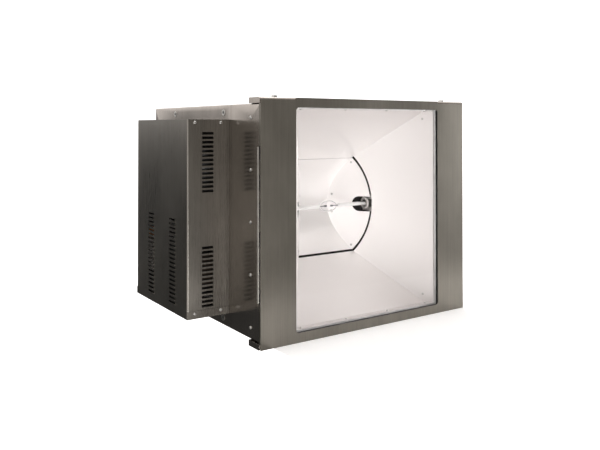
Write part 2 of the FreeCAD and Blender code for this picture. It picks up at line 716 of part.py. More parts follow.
def hopper_panel(label, upside_down):
    """The roof of the hopper: a level ledge at the front, then a slope down to the mouth.

    The roof's slope runs on over the trough's upper edge; the floor, turned over, stops short.
    """
    body = upside_down_body(label, upside_down)
    side = sketch_on(body, "YZ_Plane", middle_x - D.opening_half)
    ledge = D.door_height - D.ledge_z
    mouth = middle_z + D.mouth_height
    gauge = D.bright_sheet
    rise = (ledge - mouth) / (D.mouth_y - D.ledge_back)
    stretch = root(rise * rise + 1)
    end = D.mouth_y if upside_down else D.mouth_y + D.roof_overhang
    low = mouth + rise * (D.mouth_y - end)
    outline(side, [(hopper_y, ledge), (D.ledge_back, ledge), (end, low),
                   (end, low + gauge * stretch),
                   (D.ledge_back + gauge * (stretch - 1) / rise, ledge + gauge),
                   (hopper_y, ledge + gauge)])
    pad(body, side, 2 * D.opening_half)
    trim = sketch_on(body, "XY_Plane")
    wide = D.opening_half + 1
    front = hopper_y - 1
    back = end + 1
    for sign in (-1, 1):
        outline(trim, [(middle_x + sign * hopper_half(front), front),
                       (middle_x + sign * wide, front), (middle_x + sign * wide, back),
                       (middle_x + sign * hopper_half(back), back)])
    pocket(body, trim)
    drill(body, "XY_Plane", [(x, D.ledge_screw_y) for x in ledge_screw_xs()], D.screw_hole)


def ledge_screws():
    pieces = []
    for index, x in enumerate(ledge_screw_xs()):
        for tag, z, toward in (("low", D.ledge_z, "+Z"),
                               ("top", D.door_height - D.ledge_z, "-Z")):
            pieces.append(screw("ledge_screw_%s_%d" % (tag, index), x, D.ledge_screw_y, z,
                                toward, D.ledge_head_radius, D.ledge_screw_length))
    group("ledge_screws", pieces)


def side_turn(right):
    """Rotation of a side sheet: its X runs forwards along the slope and its Y points outwards.

    The left sheet is the right one turned half round about the depth axis, so it stays the
    same flat pattern.
    """
    turn = Rotation(Vector(0, 0, 1), -math.degrees(math.atan(1 / narrowing.value)))
    return turn if right else Rotation(Vector(0, 1, 0), 180).multiply(turn)


def side_body(label, right):
    x = middle_x + D.mouth_half if right else middle_x - D.mouth_half
    z = middle_z
    return new_body(label, x, D.mouth_y, z, side_turn(right))


def along_slope(y):
    """Distance forwards along the side sheet's slope from the mouth to a depth."""
    return (D.mouth_y - y) * slant


def side_sheet(label, right):
    """A side of the hopper, with a curved rear edge that clears the trough's end plate."""
    body = side_body(label, right)
    face = sketch_on(body, "XZ_Plane")
    front = along_slope(hopper_y)
    knee = along_slope(D.ledge_back)
    ledge = middle_z - D.ledge_z
    corners = [(0, D.mouth_height), (knee, ledge), (front, ledge), (front, -ledge),
               (knee, -ledge), (0, -D.mouth_height)]
    outline(face, corners)
    pad(body, face, D.bright_sheet, True)
    recess = sketch_on(body, "XZ_Plane")
    add_segment(recess, 0, D.mouth_height, D.arc_depth)
    pocket(body, recess)
    drill(body, "XZ_Plane", corner_rivet_places(), D.rivet_radius)


def add_segment(sketch, base, half_height, rise):
    """A circular segment: a vertical chord at the base, bulging by the rise."""
    base = as_size(base)
    low = (base, -half_height)
    high = (base, half_height)
    ends = (low, high) if rise.value > 0 else (high, low)
    add_bow(sketch, ends, (base + rise, as_size(0)), half_height, rise)


def add_bow(sketch, ends, crown, half, rise):
    """A chord and an anticlockwise arc from the first end over the crown to the second."""
    first, top, last = [Vector(u.value, v.value, 0) for u, v in (ends[0], crown, ends[1])]
    chord = sketch.addGeometry(Part.LineSegment(last, first), False)
    arc = sketch.addGeometry(Part.Arc(first, top, last), False)
    sketch.addConstraint(Sketcher.Constraint("Coincident", chord, 2, arc, 1))
    sketch.addConstraint(Sketcher.Constraint("Coincident", chord, 1, arc, 2))
    fix_point(sketch, chord, 1, ends[1])
    fix_point(sketch, chord, 2, ends[0])
    radius = (half * half + rise * rise) / (2 * rise)
    radius = radius if radius.value > 0 else -radius
    index = sketch.addConstraint(Sketcher.Constraint("Radius", arc, radius.value))
    bind(sketch, "Constraints[%d]" % index, radius)


def rivet_places():
    """Places on an end plate, as distance along the slope and height from the lamp's axis."""
    return [(along, up) for along, height in ((-D.corner_inset, D.end_plate_corner * 0.9),
                                              (-D.end_plate_back * 0.78, D.slot_half * 1.2))
            for up in (-height, height)]


def corner_rivet_places():
    """Places near the side sheet's front corners, measured as on the end plate."""
    along = along_slope(D.corner_rivet_y)
    return [(along, -D.corner_rivet_up), (along, D.corner_rivet_up)]


def end_plate(label, right):
    """A lens-shaped sheet in the side's plane that closes the trough's end round the lamp."""
    body = side_body(label, right)
    base = -D.trough_gap
    front = sketch_on(body, "XZ_Plane")
    add_segment(front, base, D.end_plate_corner, D.arc_depth)
    pad(body, front, D.bright_sheet, True)
    back = sketch_on(body, "XZ_Plane")
    add_segment(back, base, D.end_plate_corner, D.trough_gap - D.end_plate_back)
    pad(body, back, D.bright_sheet, True)
    slot = sketch_on(body, "XZ_Plane")
    rounding = D.slot_half - D.slot_end
    rectangle(slot, (rounding, D.arc_depth + 1), (-D.slot_half, D.slot_half))
    pocket(body, slot)
    drill(body, "XZ_Plane", [(rounding, 0)], D.slot_half)
    drill(body, "XZ_Plane", rivet_places(), D.rivet_radius)


def on_side(along, up, right):
    """The design position of a point on a side sheet's inner face."""
    half = D.mouth_half + along / slant * narrowing
    x = middle_x + half if right else middle_x - half
    return x, D.mouth_y - along / slant, middle_z + up


def rivets():
    pieces = []
    for right in (True, False):
        outward = side_turn(right).multiply(TURNS["+Y"])
        for index, (along, up) in enumerate(rivet_places() + corner_rivet_places()):
            tag = "%d_%d" % (right, index)
            head = doc.addObject("Part::Cylinder", "rivet_head_" + tag)
            bind(head, "Radius", D.rivet_head)
            bind(head, "Height", D.rivet_dome)
            bind(head, ".Placement.Base.z", -D.rivet_dome)
            shank = doc.addObject("Part::Cylinder", "rivet_shank_" + tag)
            bind(shank, "Radius", D.rivet_radius)
            bind(shank, "Height", 3 * D.bright_sheet)
            tail = doc.addObject("Part::Cylinder", "rivet_tail_" + tag)
            bind(tail, "Radius", D.rivet_head * 0.8)
            bind(tail, "Height", 2 * D.bright_sheet)
            bind(tail, ".Placement.Base.z", D.bright_sheet)
            rivet = fuse("rivet_" + tag, [head, shank, tail])
            x, y, z = on_side(along, up, right)
            place(rivet, x, y, z, outward)
            pieces.append(rivet)
    group("reflector_rivets", pieces)


def reflector_trough():
    """A parabolic trough, trimmed at each end to the plane of the hopper's side.

    A parabola is exactly a quadratic Bezier curve, so each face is one curve of three poles.
    The trough has no sketch feature for that curve, so its shape is made here from the cells.
    """
    vertex = D.trough_vertex.value
    edge_y = (D.mouth_y + D.trough_gap).value
    edge_z = D.mouth_height.value * math.sqrt((vertex - edge_y) / (vertex - D.mouth_y.value))
    gauge = D.bright_sheet.value
    reach = D.opening_half.value

    def parabola(offset):
        curve = Part.BezierCurve()
        curve.setPoles([Vector(-reach, edge_y + offset, -edge_z),
                        Vector(-reach, 2 * vertex - edge_y + offset, 0),
                        Vector(-reach, edge_y + offset, edge_z)])
        return curve.toShape()

    inner = parabola(0)
    outer = parabola(gauge)
    ends = [Part.makeLine(Vector(-reach, edge_y, z), Vector(-reach, edge_y + gauge, z))
            for z in (-edge_z, edge_z)]
    section = Part.Face(Part.Wire(Part.__sortEdges__([inner, ends[1], outer, ends[0]])))
    bar = section.extrude(Vector(2 * reach, 0, 0))
    front = hopper_half(D.opening_y).value
    depth = vertex + 4 * gauge
    back = hopper_half(as_size(depth)).value
    below = -edge_z - 1
    near = D.opening_y.value
    plan = [Vector(-front, near, below), Vector(front, near, below),
            Vector(back, depth, below), Vector(-back, depth, below)]
    keep = Part.Face(Part.makePolygon(plan + plan[:1])).extrude(Vector(0, 0, -2 * below))
    trough = doc.addObject("Part::Feature", "reflector_trough")
    trough.Shape = bar.common(keep).Solids[0]
    place(trough, middle_x, 0, middle_z)
    finished(trough, "reflector_trough")


def heat_shield():
    across = (middle_x - D.shield_half, middle_x + D.shield_half)
    plate = box("shield_plate", across, (D.shield_y, D.shield_y + D.sheet),
                (inside_floor, inside_roof))
    feet = [box("shield_foot_%d" % index, across, (D.shield_y, D.shield_y + D.shield_foot),
                (low, low + D.sheet))
            for index, low in enumerate((inside_floor, inside_roof - D.sheet))]
    finished(fuse("heat_shield", [plate] + feet), "heat_shield")


# ---------------------------------------------------------------- lamp and holders

def lamp():
    """A double-ended lamp: quartz bulb with two stems, electrodes inside, a base on each end."""
    body = new_body("lamp_quartz", middle_x, D.lamp_y, middle_z)
    profile = sketch_on(body, "XZ_Plane")
    outline(profile, [(-D.stem_end, 0), (D.stem_end, 0), (D.stem_end, D.stem_radius),
                      (-D.stem_end, D.stem_radius)])
    revolve(body, profile, "PartDesign::Revolution")
    bulb = sketch_on(body, "XZ_Plane")
    add_cap(bulb, D.bulb_half, D.bulb_radius)
    revolve(body, bulb, "PartDesign::Revolution")
    cavity = sketch_on(body, "XZ_Plane")
    add_cap(cavity, D.cavity_half, D.cavity_radius)
    revolve(body, cavity, "PartDesign::Groove")
    channel = sketch_on(body, "XZ_Plane")
    for sign in (-1, 1):
        rectangle(channel, (sign * D.cavity_half * 0.8, sign * D.electrode_end),
                  (as_size(0), D.electrode_radius))
    revolve(body, channel, "PartDesign::Groove")

    tips = []
    bases = []
    collars = []
    for sign, toward, tag in ((-1, "-X", "left"), (1, "+X", "right")):
        def reach(distance):
            return middle_x + sign * distance
        rod_piece = rod("electrode_rod_" + tag, reach(D.arc_half), D.lamp_y, middle_z, toward,
                        D.electrode_radius, D.electrode_end - D.arc_half)
        tip = rod("electrode_tip_" + tag, reach(D.arc_half), D.lamp_y, middle_z, toward,
                  D.electrode_tip, D.electrode_tip_length)
        tips.append(fuse("electrode_" + tag, [rod_piece, tip]))
        cap = rod("base_cap_" + tag, reach(D.stem_end), D.lamp_y, middle_z, toward,
                  D.base_radius, D.base_end - D.stem_end)
        pin = rod("base_pin_" + tag, reach(D.stem_end), D.lamp_y, middle_z, toward, D.lamp_pin,
                  D.lamp_end - D.stem_end)
        bases.append(fuse("base_" + tag, [cap, pin]))
        disc = rod("collar_disc_" + tag, reach(D.stem_end), D.lamp_y, middle_z, toward,
                   D.collar_radius, D.collar_length)
        bore = rod("collar_bore_" + tag, reach(D.stem_end - 1), D.lamp_y, middle_z, toward,
                   D.collar_bore, D.collar_length + 2)
        collars.append(cut("collar_" + tag, disc, [bore]))
    group("lamp_electrodes", tips)
    group("lamp_bases", bases)
    group("lamp_collars", collars)


def add_cap(sketch, half, height):
    """Half of a lens shape above the sketch's horizontal axis."""
    zero = as_size(0)
    add_bow(sketch, ((half, zero), (-half, zero)), (zero, height), half, height)


def revolve(body, sketch, kind):
    """A full turn about the sketch's horizontal axis."""
    feature = body.newObject(kind, body.Name + "_turn")
    feature.Profile = sketch
    feature.ReferenceAxis = (sketch, ["H_Axis"])
    feature.Angle = 360
    return feature


def lamp_holders():
    for sign, tag in ((-1, "left"), (1, "right")):
        def across(near, far):
            ends = [middle_x + sign * near, middle_x + sign * far]
            return tuple(ends if sign > 0 else ends[::-1])
        toward = "+X" if sign > 0 else "-X"
        block = box("holder_block_" + tag, across(D.holder_near, D.holder_far),
                    (D.holder_front, D.upright_y),
                    (middle_z - D.holder_half, middle_z + D.holder_half))
        seat = rod("holder_seat_" + tag, middle_x + sign * (D.holder_near - 1), D.lamp_y,
                   middle_z, toward, D.holder_fit, D.holder_far - D.holder_near + 2)
        mouth = box("holder_mouth_" + tag, across(D.holder_near - 1, D.holder_far + 1),
                    (D.holder_front - 1, D.lamp_y),
                    (middle_z - D.holder_fit, middle_z + D.holder_fit))
        finished(cut("lamp_holder_" + tag, block, [seat, mouth]), "lamp_holder_" + tag)

        strap = box("upright_strap_" + tag, across(D.upright_near, D.upright_far),
                    (D.upright_y, D.upright_y + D.upright), (inside_floor, inside_roof))
        reach = hopper_half(D.upright_y) + 2 * D.bright_sheet
        arm = box("upright_arm_" + tag, across(reach, D.upright_near + 1),
                  (D.upright_y, D.upright_y + D.upright),
                  (middle_z - D.arm_half, middle_z + D.arm_half))
        feet = [box("upright_foot_%s_%d" % (tag, index), across(D.upright_near, D.upright_far),
                    (D.upright_y, D.upright_y + D.upright_foot), (low, low + D.upright))
                for index, low in enumerate((inside_floor, inside_roof - D.upright))]
        finished(fuse("lamp_upright_" + tag, [strap, arm] + feet), "lamp_upright_" + tag)
    clips = []
    for sign, tag in ((-1, "left"), (1, "right")):
        centre = middle_x + sign * (D.holder_near + D.holder_far) / 2
        clips.append(box("clip_plate_" + tag, (centre - D.clip_half / 2, centre + D.clip_half / 2),
                         (D.holder_front - D.clip, D.holder_front),
                         (middle_z - D.holder_half, middle_z + D.holder_half)))
    group("lamp_clips", clips)


# ---------------------------------------------------------------- control gear box

def louvres(body, role, face, u_centre, length, top, count):
    """A column of slots, each with a lip pressed outwards below it."""
    slot = sketch_on(body, role, face)
    start = u_centre - length / 2
    rectangle(slot, (start, start + length), (top - D.slot_height / 2, top + D.slot_height / 2))
    opening = pocket(body, slot, 2 * D.sheet, role == "YZ_Plane")
    side_role = "YZ_Plane" if role == "XZ_Plane" else "XZ_Plane"
    lip = sketch_on(body, side_role, start)
    low = top - D.slot_height / 2
    thick = D.sheet * 0.9
    outline(lip, [(face + D.lip_root, low - thick - D.lip_root), (face + D.lip_root, low),
                  (face - D.lip_reach, low + D.lip_rise),
                  (face - D.lip_reach, low + D.lip_rise - thick)])
    hood = pad(body, lip, length, side_role == "XZ_Plane")
    pattern_down(body, [opening, hood], slot, count, D.louvre_pitch)


def bend_uprights(body, feature, x, ys, radius):
    """Rounds the upright bends where a folded sheet's left side meets its front and its rear."""
    return round_edges(body, feature, radius, lambda edge, at:
                       abs(at.x - x.value) < 0.01 and
                       min(abs(at.y - y.value) for y in ys) < 0.01)


def box_screw_places(z):
    """Places of the gear box screws of one row, the same in its front and its rear."""
    return [(D.box_screw_a, z), (D.box_screw_b, z)]


def gear_box():
    left, front, back = D.box_left, D.box_front, D.box_back
    low, high = D.box_bottom, D.box_top
    end = wall_left - D.clearance
    gauge = D.sheet

    cover = new_body("gear_box_cover")
    plan = sketch_on(cover, "XY_Plane", low + gauge)
    outline(plan, [(end, front), (left, front), (left, back), (end, back), (end, back - gauge),
                   (left + gauge, back - gauge), (left + gauge, front + gauge),
                   (end, front + gauge)])
    folded = pad(cover, plan, high - low - 2 * gauge)
    folded = bend_uprights(cover, folded, left, (front, back), D.bend)
    bend_uprights(cover, folded, left + gauge, (front + gauge, back - gauge), D.bend - gauge)
    low_row = box_screw_places(D.box_screw_low)
    top_row = box_screw_places(D.box_screw_top)
    drill(cover, "XZ_Plane", low_row + top_row, D.screw_hole)
    for top in (D.front_louvre_top, D.front_louvre_mid):
        louvres(cover, "XZ_Plane", front, D.front_louvre_x, D.front_louvre_length, top,
                D.front_louvre_count)
    for centre in (D.side_louvre_near, D.side_louvre_far):
        louvres(cover, "YZ_Plane", left, centre, D.side_louvre_length, D.side_louvre_top,
                D.side_louvre_count)

    tray = new_body("gear_box_tray")
    base = sketch_on(tray, "XY_Plane", low)
    rectangle(base, (left, end), (front - gauge, back + gauge))
    pad(tray, base, gauge)
    rims = sketch_on(tray, "XY_Plane", low)
    rectangle(rims, (left, end), (front - gauge, front))
    rectangle(rims, (left, end), (back, back + gauge))
    pad(tray, rims, D.tray_lip)
    drill(tray, "XZ_Plane", low_row, D.screw_hole)
    drill(tray, "XY_Plane", [(D.gland_x, D.gland_y)], D.gland_thread)

    lid = new_body("gear_box_lid")
    top_face = sketch_on(lid, "XY_Plane", high - gauge)
    rectangle(top_face, (left, end), (front, back))
    pad(lid, top_face, gauge)
    skirt = sketch_on(lid, "XY_Plane", high - gauge - D.lid_lip)
    outline(skirt, [(end, front + gauge), (left + gauge, front + gauge),
                    (left + gauge, back - gauge), (end, back - gauge), (end, back - 2 * gauge),
                    (left + 2 * gauge, back - 2 * gauge), (left + 2 * gauge, front + 2 * gauge),
                    (end, front + 2 * gauge)])
    folded = pad(lid, skirt, D.lid_lip)
    for inset, radius in ((0, D.bend), (1, D.bend - gauge), (2, D.bend - 2 * gauge)):
        folded = bend_uprights(lid, folded, left + inset * gauge,
                               (front + inset * gauge, back - inset * gauge), radius)
    drill(lid, "XZ_Plane", top_row, D.screw_hole)

    # the low screws' heads stand on the tray's rim, and the top ones' on the cover
    pieces = []
    for row, places, rim_gauge in (("low", low_row, gauge), ("top", top_row, 0)):
        for index, (x, z) in enumerate(places):
            tag = "%s_%d" % (row, index)
            pieces.append(screw("box_screw_f_" + tag, x, front - rim_gauge, z, "-Y"))
            pieces.append(screw("box_screw_b_" + tag, x, back + rim_gauge, z, "+Y"))
    group("gear_box_screws", pieces)


def gear_plate():
    body = new_body("gear_plate")
    face = sketch_on(body, "YZ_Plane", D.gear_plate_x - D.gear_plate)
    rectangle(face, (D.gear_front, D.gear_back), (D.gear_low, D.gear_high))
    pad(body, face, D.gear_plate)
    drill(body, "YZ_Plane", [(D.lead_a, D.lead_z), (D.lead_b, D.lead_z)], D.grommet_radius + 2)
    drill(body, "YZ_Plane", [(D.stud_y, D.stud_z)], D.stud_radius)
    spacers = []
    for index, (y, z) in enumerate([(y, z)
                                    for y in (D.gear_front + D.spacer_inset,
                                              D.gear_back - D.spacer_inset)
                                    for z in (D.gear_low + D.spacer_inset,
                                              D.gear_high - D.spacer_inset)]):
        spacers.append(rod("spacer_%d" % index, D.gear_plate_x, y, z, "+X", D.spacer_radius,
                           wall_left - D.gear_plate_x))
    group("gear_plate_spacers", spacers)


def ballast():
    """A choke: a laminated core with an insulated winding that stands out at both ends."""
    face = D.gear_plate_x - D.gear_plate
    depth = (face - D.core_depth, face)
    core = box("core_block", depth, (D.core_front, D.core_back), (D.core_low, D.core_high))
    window_x = (depth[0] + D.coil_margin, depth[1] - D.coil_margin)
    third = (D.core_high - D.core_low) / 6
    windows = [box("core_window_%d" % index, window_x, (D.core_front - 1, D.core_back + 1),
                   (low, low + third))
               for index, low in enumerate((D.core_low + third, D.core_high - 2 * third))]
    finished(cut("ballast_core", core, windows), "ballast_core")
    coil_y = (D.core_front - D.coil_out, D.core_back + D.coil_out)
    outer = box("coil_outer", window_x, coil_y, (D.core_low + third, D.core_high - third))
    inner = box("coil_inner", (window_x[0] - 1, window_x[1] + 1), (D.core_front, D.core_back),
                (D.core_low + 2 * third, D.core_high - 2 * third))
    finished(cut("ballast_winding", outer, [inner]), "ballast_winding")


def gear_bracket():
    """An angle on the gear plate whose tall leg carries the igniter and the terminal blocks."""
    face = D.gear_plate_x - D.gear_plate
    height = (D.bracket_low, D.bracket_high)
    leg = box("bracket_leg", (D.bracket_left, face), (D.bracket_back - D.bracket, D.bracket_back),
              height)
    foot = box("bracket_foot", (face - D.bracket, face),
               (D.bracket_back - D.bracket_foot, D.bracket_back), height)
    finished(fuse("gear_bracket", [leg, foot]), "gear_bracket")


def igniter():
    height = (D.igniter_low, D.igniter_high)
    case = box("igniter_block", (D.igniter_left, D.igniter_right),
               (D.igniter_front, D.bracket_back - D.bracket), height)
    doc.recompute()
    case_round = doc.addObject("Part::Fillet", "igniter_case")
    case_round.Base = case
    uprights = [index for index, edge in enumerate(case.Shape.Edges, start=1)
                if abs(edge.Length - (height[1] - height[0]).value) < 0.01]
    case_round.Edges = [(index, D.igniter_round.value, D.igniter_round.value)
                        for index in uprights]
    finished(case_round, "igniter_case")


def terminal_blocks():
    """One block for the supply and one for the lamp; each pole has a wire and a screw hole."""
    blocks = []
    back = D.bracket_back - D.bracket
    across = D.block_right - D.block_left
    for tag, low, poles in (("a", D.block_a, D.poles_a), ("b", D.block_b, D.poles_b)):
        high = low + poles * D.pole_pitch + 2 * D.block_margin
        body = box("block_" + tag, (D.block_left, D.block_right), (D.block_front, back),
                   (low, high))
        holes = []
        for index in range(int(poles.value)):
            z = low + D.block_margin + D.pole_pitch * (index + 0.5)
            middle_y = (D.block_front + back) / 2
            holes.append(rod("pole_wire_%s_%d" % (tag, index), D.block_left - 1, middle_y, z,
                             "+X", D.pole_radius, across + 2))
            for side, share in (("l", 0.3), ("r", 0.7)):
                holes.append(rod("pole_screw_%s_%d_%s" % (tag, index, side),
                                 D.block_left + across * share, D.block_front - 1, z, "+Y",
                                 D.pole_radius, middle_y - D.block_front))
        blocks.append(cut("terminal_block_" + tag, body, holes))
    group("terminal_blocks", blocks)


def capacitors():
    cans = []
    bands = []
    for index, y in enumerate((D.can_front, D.can_rear)):
        can = rod("can_%d" % index, D.can_x, y, D.can_low, "+Z", D.can_radius,
                  D.can_high - D.can_low)
        tab = rod("can_tab_%d" % index, D.can_x, y, D.can_high, "+Z", D.can_radius * 0.3,
                  D.can_radius * 0.4)
        cans.append(fuse("capacitor_%d" % index, [can, tab]))
        middle = (D.can_low + D.can_high) / 2
        outer = rod("band_outer_%d" % index, D.can_x, y, middle, "+Z", D.can_radius + D.sheet,
                    D.clip_band)
        foot = box("band_foot_%d" % index,
                   (D.gear_plate_x - D.gear_plate - D.sheet, D.gear_plate_x - D.gear_plate),
                   (y - D.can_radius * 1.4, y + D.can_radius * 1.4), (middle, middle + D.clip_band))
        hollow = rod("band_hollow_%d" % index, D.can_x, y, middle - 1, "+Z", D.can_radius,
                     D.clip_band + 2)
        bands.append(cut("band_%d" % index, fuse("band_solid_%d" % index, [outer, foot]),
                         [hollow]))
    group("capacitors", cans)
    group("capacitor_clips", bands)


def cable_gland():
    """The inlet for the supply cable, through the tray, with its lock nut inside."""
    x, y = D.gland_x, D.gland_y
    tray = D.box_bottom
    body = hexagon("gland_hex", x, y, tray, "-Z", D.gland_flats, D.gland_body_length)
    cap = rod("gland_cap", x, y, tray - D.gland_body_length, "-Z", D.gland_cap,
              D.gland_cap_length)
    thread = rod("gland_thread", x, y, tray, "+Z", D.gland_thread - 0.1, D.gland_inside)
    bore = rod("gland_bore", x, y, tray - 40, "+Z", D.gland_bore, as_size(80))
    finished(cut("cable_gland", fuse("gland_solid", [body, cap, thread]), [bore]), "cable_gland")
    nut = hexagon("gland_nut_hex", x, y, tray + D.sheet, "+Z", D.gland_flats,
                  D.gland_nut_height)
    hole = rod("gland_nut_hole", x, y, tray, "+Z", D.gland_thread, D.gland_nut_height * 3)
    finished(cut("gland_nut", nut, [hole]), "gland_nut")


def lead_grommets():
    pieces = []
    for index, y in enumerate((D.lead_a, D.lead_b)):
        neck = rod("grommet_neck_%d" % index, wall_left, y, D.lead_z, "+X", D.grommet_hole,
                   D.sheet)
        outer = rod("grommet_outer_%d" % index, wall_left - D.grommet_lip, y, D.lead_z, "+X",
                    D.grommet_radius, D.grommet_lip)
        inner = rod("grommet_inner_%d" % index, inside_left, y, D.lead_z, "+X",
                    D.grommet_radius, D.grommet_lip)
        bore = rod("grommet_bore_%d" % index, wall_left - 5, y, D.lead_z, "+X", D.grommet_bore,
                   as_size(12))
        pieces.append(cut("grommet_%d" % index,
                          fuse("grommet_solid_%d" % index, [neck, outer, inner]), [bore]))
    group("lead_grommets", pieces)


def lamp_lead(label, points):
    """A round lead along straight runs joined by tangent arcs, swept as one solid."""
    radius = D.lead_radius.value
    bend = D.lead_bend.value
    edges = []
    spot = points[0]
    length = 0.0
    for index in range(1, len(points) - 1):
        before = (points[index - 1] - points[index]).normalize()
        after = (points[index + 1] - points[index]).normalize()
        turn = math.pi - before.getAngle(after)
        setback = bend * math.tan(turn / 2)
        enter = points[index] + before * setback
        leave = points[index] + after * setback
        inward = (before + after).normalize()
        centre = points[index] + inward * (bend / math.cos(turn / 2))
        edges.append(Part.LineSegment(spot, enter).toShape())
        edges.append(Part.Arc(enter, centre - inward * bend, leave).toShape())
        length += (enter - spot).Length + bend * turn
        spot = leave
    edges.append(Part.LineSegment(spot, points[-1]).toShape())
    length += (points[-1] - spot).Length
    path = Part.Wire(edges)
    ring = Part.Wire([Part.makeCircle(radius, points[0], points[1] - points[0])])
    lead = doc.addObject("Part::Feature", label)
    lead.Shape = path.makePipeShell([ring], True, False)
    expected = math.pi * radius ** 2 * length
    if abs(lead.Shape.Volume - expected) > 0.01 * expected:
        raise RuntimeError("%s has volume %.1f, not %.1f" % (label, lead.Shape.Volume, expected))
    place(lead)
    finished(lead, label)


def lamp_leads():
    """From the igniter through the housing wall to each end of the lamp."""
    start = D.igniter_high.value
    x = D.lead_x.value
    z = D.lead_z.value
    lamp_y = D.lamp_y.value
    for label, y, turn_x, sign in (("lamp_lead_left", D.lead_a.value, D.lead_turn_left.value, -1),
                                   ("lamp_lead_right", D.lead_b.value,
                                    D.lead_turn_right.value, 1)):
        end_x = (middle_x + sign * D.lamp_end).value
        lamp_lead(label, [Vector(x, y, start), Vector(x, y, z), Vector(turn_x, y, z),
                          Vector(turn_x, lamp_y, z), Vector(end_x, lamp_y, z)])


def earth_stud():
    face = D.gear_plate_x - D.gear_plate
    stud = rod("stud_bolt", D.gear_plate_x, D.stud_y, D.stud_z, "-X", D.stud_radius,
               D.stud_length)
    nut = hexagon("stud_hex", face, D.stud_y, D.stud_z, "-X", D.stud_flats, D.stud_nut)
    finished(fuse("earth_stud", [stud, nut]), "earth_stud")


# ---------------------------------------------------------------- build, check and write

door_frame()
door_channels()
clamps()
glass_unit()
glass_retainers()
hinge()
front_shell()
rear_shell()
rear_panel()
housing_screws()
suspension_inserts()
reflector_frame()
hopper_panel("reflector_roof", False)
hopper_panel("reflector_floor", True)
ledge_screws()
side_sheet("reflector_left", False)
side_sheet("reflector_right", True)
reflector_trough()
end_plate("end_plate_left", False)
end_plate("end_plate_right", True)
rivets()
heat_shield()
lamp()
lamp_holders()
gear_box()
gear_plate()
ballast()
gear_bracket()
igniter()
terminal_blocks()
capacitors()
cable_gland()
lead_grommets()
lamp_leads()
earth_stud()
doc.recompute()

for item in doc.Objects:
    if {"Invalid", "Error"} & set(item.State):
        raise RuntimeError("%s did not compute: %s" % (item.Name, item.State))
    if item.TypeId in ("PartDesign::Pocket", "PartDesign::Groove"):
        if item.Shape.Volume > item.BaseFeature.Shape.Volume - 0.01:
            raise RuntimeError("%s cuts nothing" % item.Name)

whole = FreeCAD.BoundBox()
for item in subparts:
    if item.Shape.isNull() or not item.Shape.isValid() or not item.Shape.Solids:
        raise RuntimeError("%s has no valid solid" % item.Label)
    item.Shape.exportStep("parts/%s.step" % item.Label)
    whole.add(item.Shape.BoundBox)
print("%d sub-parts, box %s" % (len(subparts), whole))
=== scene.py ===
import json
import math

import bmesh
import bpy
import numpy as np
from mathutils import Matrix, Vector


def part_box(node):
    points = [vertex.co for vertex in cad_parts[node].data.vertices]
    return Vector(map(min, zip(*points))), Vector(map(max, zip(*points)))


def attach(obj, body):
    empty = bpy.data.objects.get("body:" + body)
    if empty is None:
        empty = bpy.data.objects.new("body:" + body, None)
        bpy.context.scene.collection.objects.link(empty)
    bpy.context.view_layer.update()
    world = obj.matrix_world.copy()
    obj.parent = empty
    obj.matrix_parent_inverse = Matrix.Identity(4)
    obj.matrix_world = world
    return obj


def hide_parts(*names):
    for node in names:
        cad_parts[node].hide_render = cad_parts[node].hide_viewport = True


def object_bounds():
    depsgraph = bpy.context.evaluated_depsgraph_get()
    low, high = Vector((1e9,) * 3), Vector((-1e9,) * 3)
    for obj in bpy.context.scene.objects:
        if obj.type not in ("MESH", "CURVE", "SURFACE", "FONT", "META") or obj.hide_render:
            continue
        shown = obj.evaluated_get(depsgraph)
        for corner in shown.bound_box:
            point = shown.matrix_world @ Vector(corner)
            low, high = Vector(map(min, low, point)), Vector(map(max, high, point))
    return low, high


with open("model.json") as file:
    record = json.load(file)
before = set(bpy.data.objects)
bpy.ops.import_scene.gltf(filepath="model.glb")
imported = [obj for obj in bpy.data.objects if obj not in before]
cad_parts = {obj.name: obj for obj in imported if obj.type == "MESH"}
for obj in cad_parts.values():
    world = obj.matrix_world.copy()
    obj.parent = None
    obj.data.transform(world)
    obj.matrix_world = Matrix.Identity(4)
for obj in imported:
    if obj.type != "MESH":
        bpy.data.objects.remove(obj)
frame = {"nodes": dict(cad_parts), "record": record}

cad_low, cad_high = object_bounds()
nodes = frame["nodes"]
slot_of = {row["node"]: row["material_slot"] for row in frame["record"]["subparts"]}
body_of = {node: body
           for body, members in frame["record"]["behaviour"]["bodies"].items()
           for node in members}


def put_in_scene(name, data):
    """A new object in the scene, with a mesh, a light or a camera for its data."""
    made = bpy.data.objects.new(name, data)
    bpy.context.scene.collection.objects.link(made)
    return made


def to_mesh(work, name):
    """Ends a bmesh and returns what it held as a mesh."""
    mesh = bpy.data.meshes.new(name)
    work.to_mesh(mesh)
    work.free()
    return mesh


# ---------------------------------------------------------------- camera

EYE_FROM_DOOR_CORNER = Vector((-0.7547, -1.2655, 0.4867))
VIEW_DIRECTION = Vector((0.56088, 0.82780, 0.0130))
SENSOR_MM = 36
LENS_MM = 40.72
SHIFT_DOWN = 0.1801

door_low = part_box("door_frame")[0]

camera_data = bpy.data.cameras.new("camera")
camera_data.sensor_width = SENSOR_MM
camera_data.lens = LENS_MM
camera_data.shift_y = -SHIFT_DOWN
camera = put_in_scene("camera", camera_data)
camera.location = door_low + EYE_FROM_DOOR_CORNER
camera.rotation_euler = VIEW_DIRECTION.to_track_quat("-Z", "Y").to_euler()
bpy.context.scene.camera = camera
bpy.context.scene.view_settings.view_transform = "Standard"

# ---------------------------------------------------------------- node trees

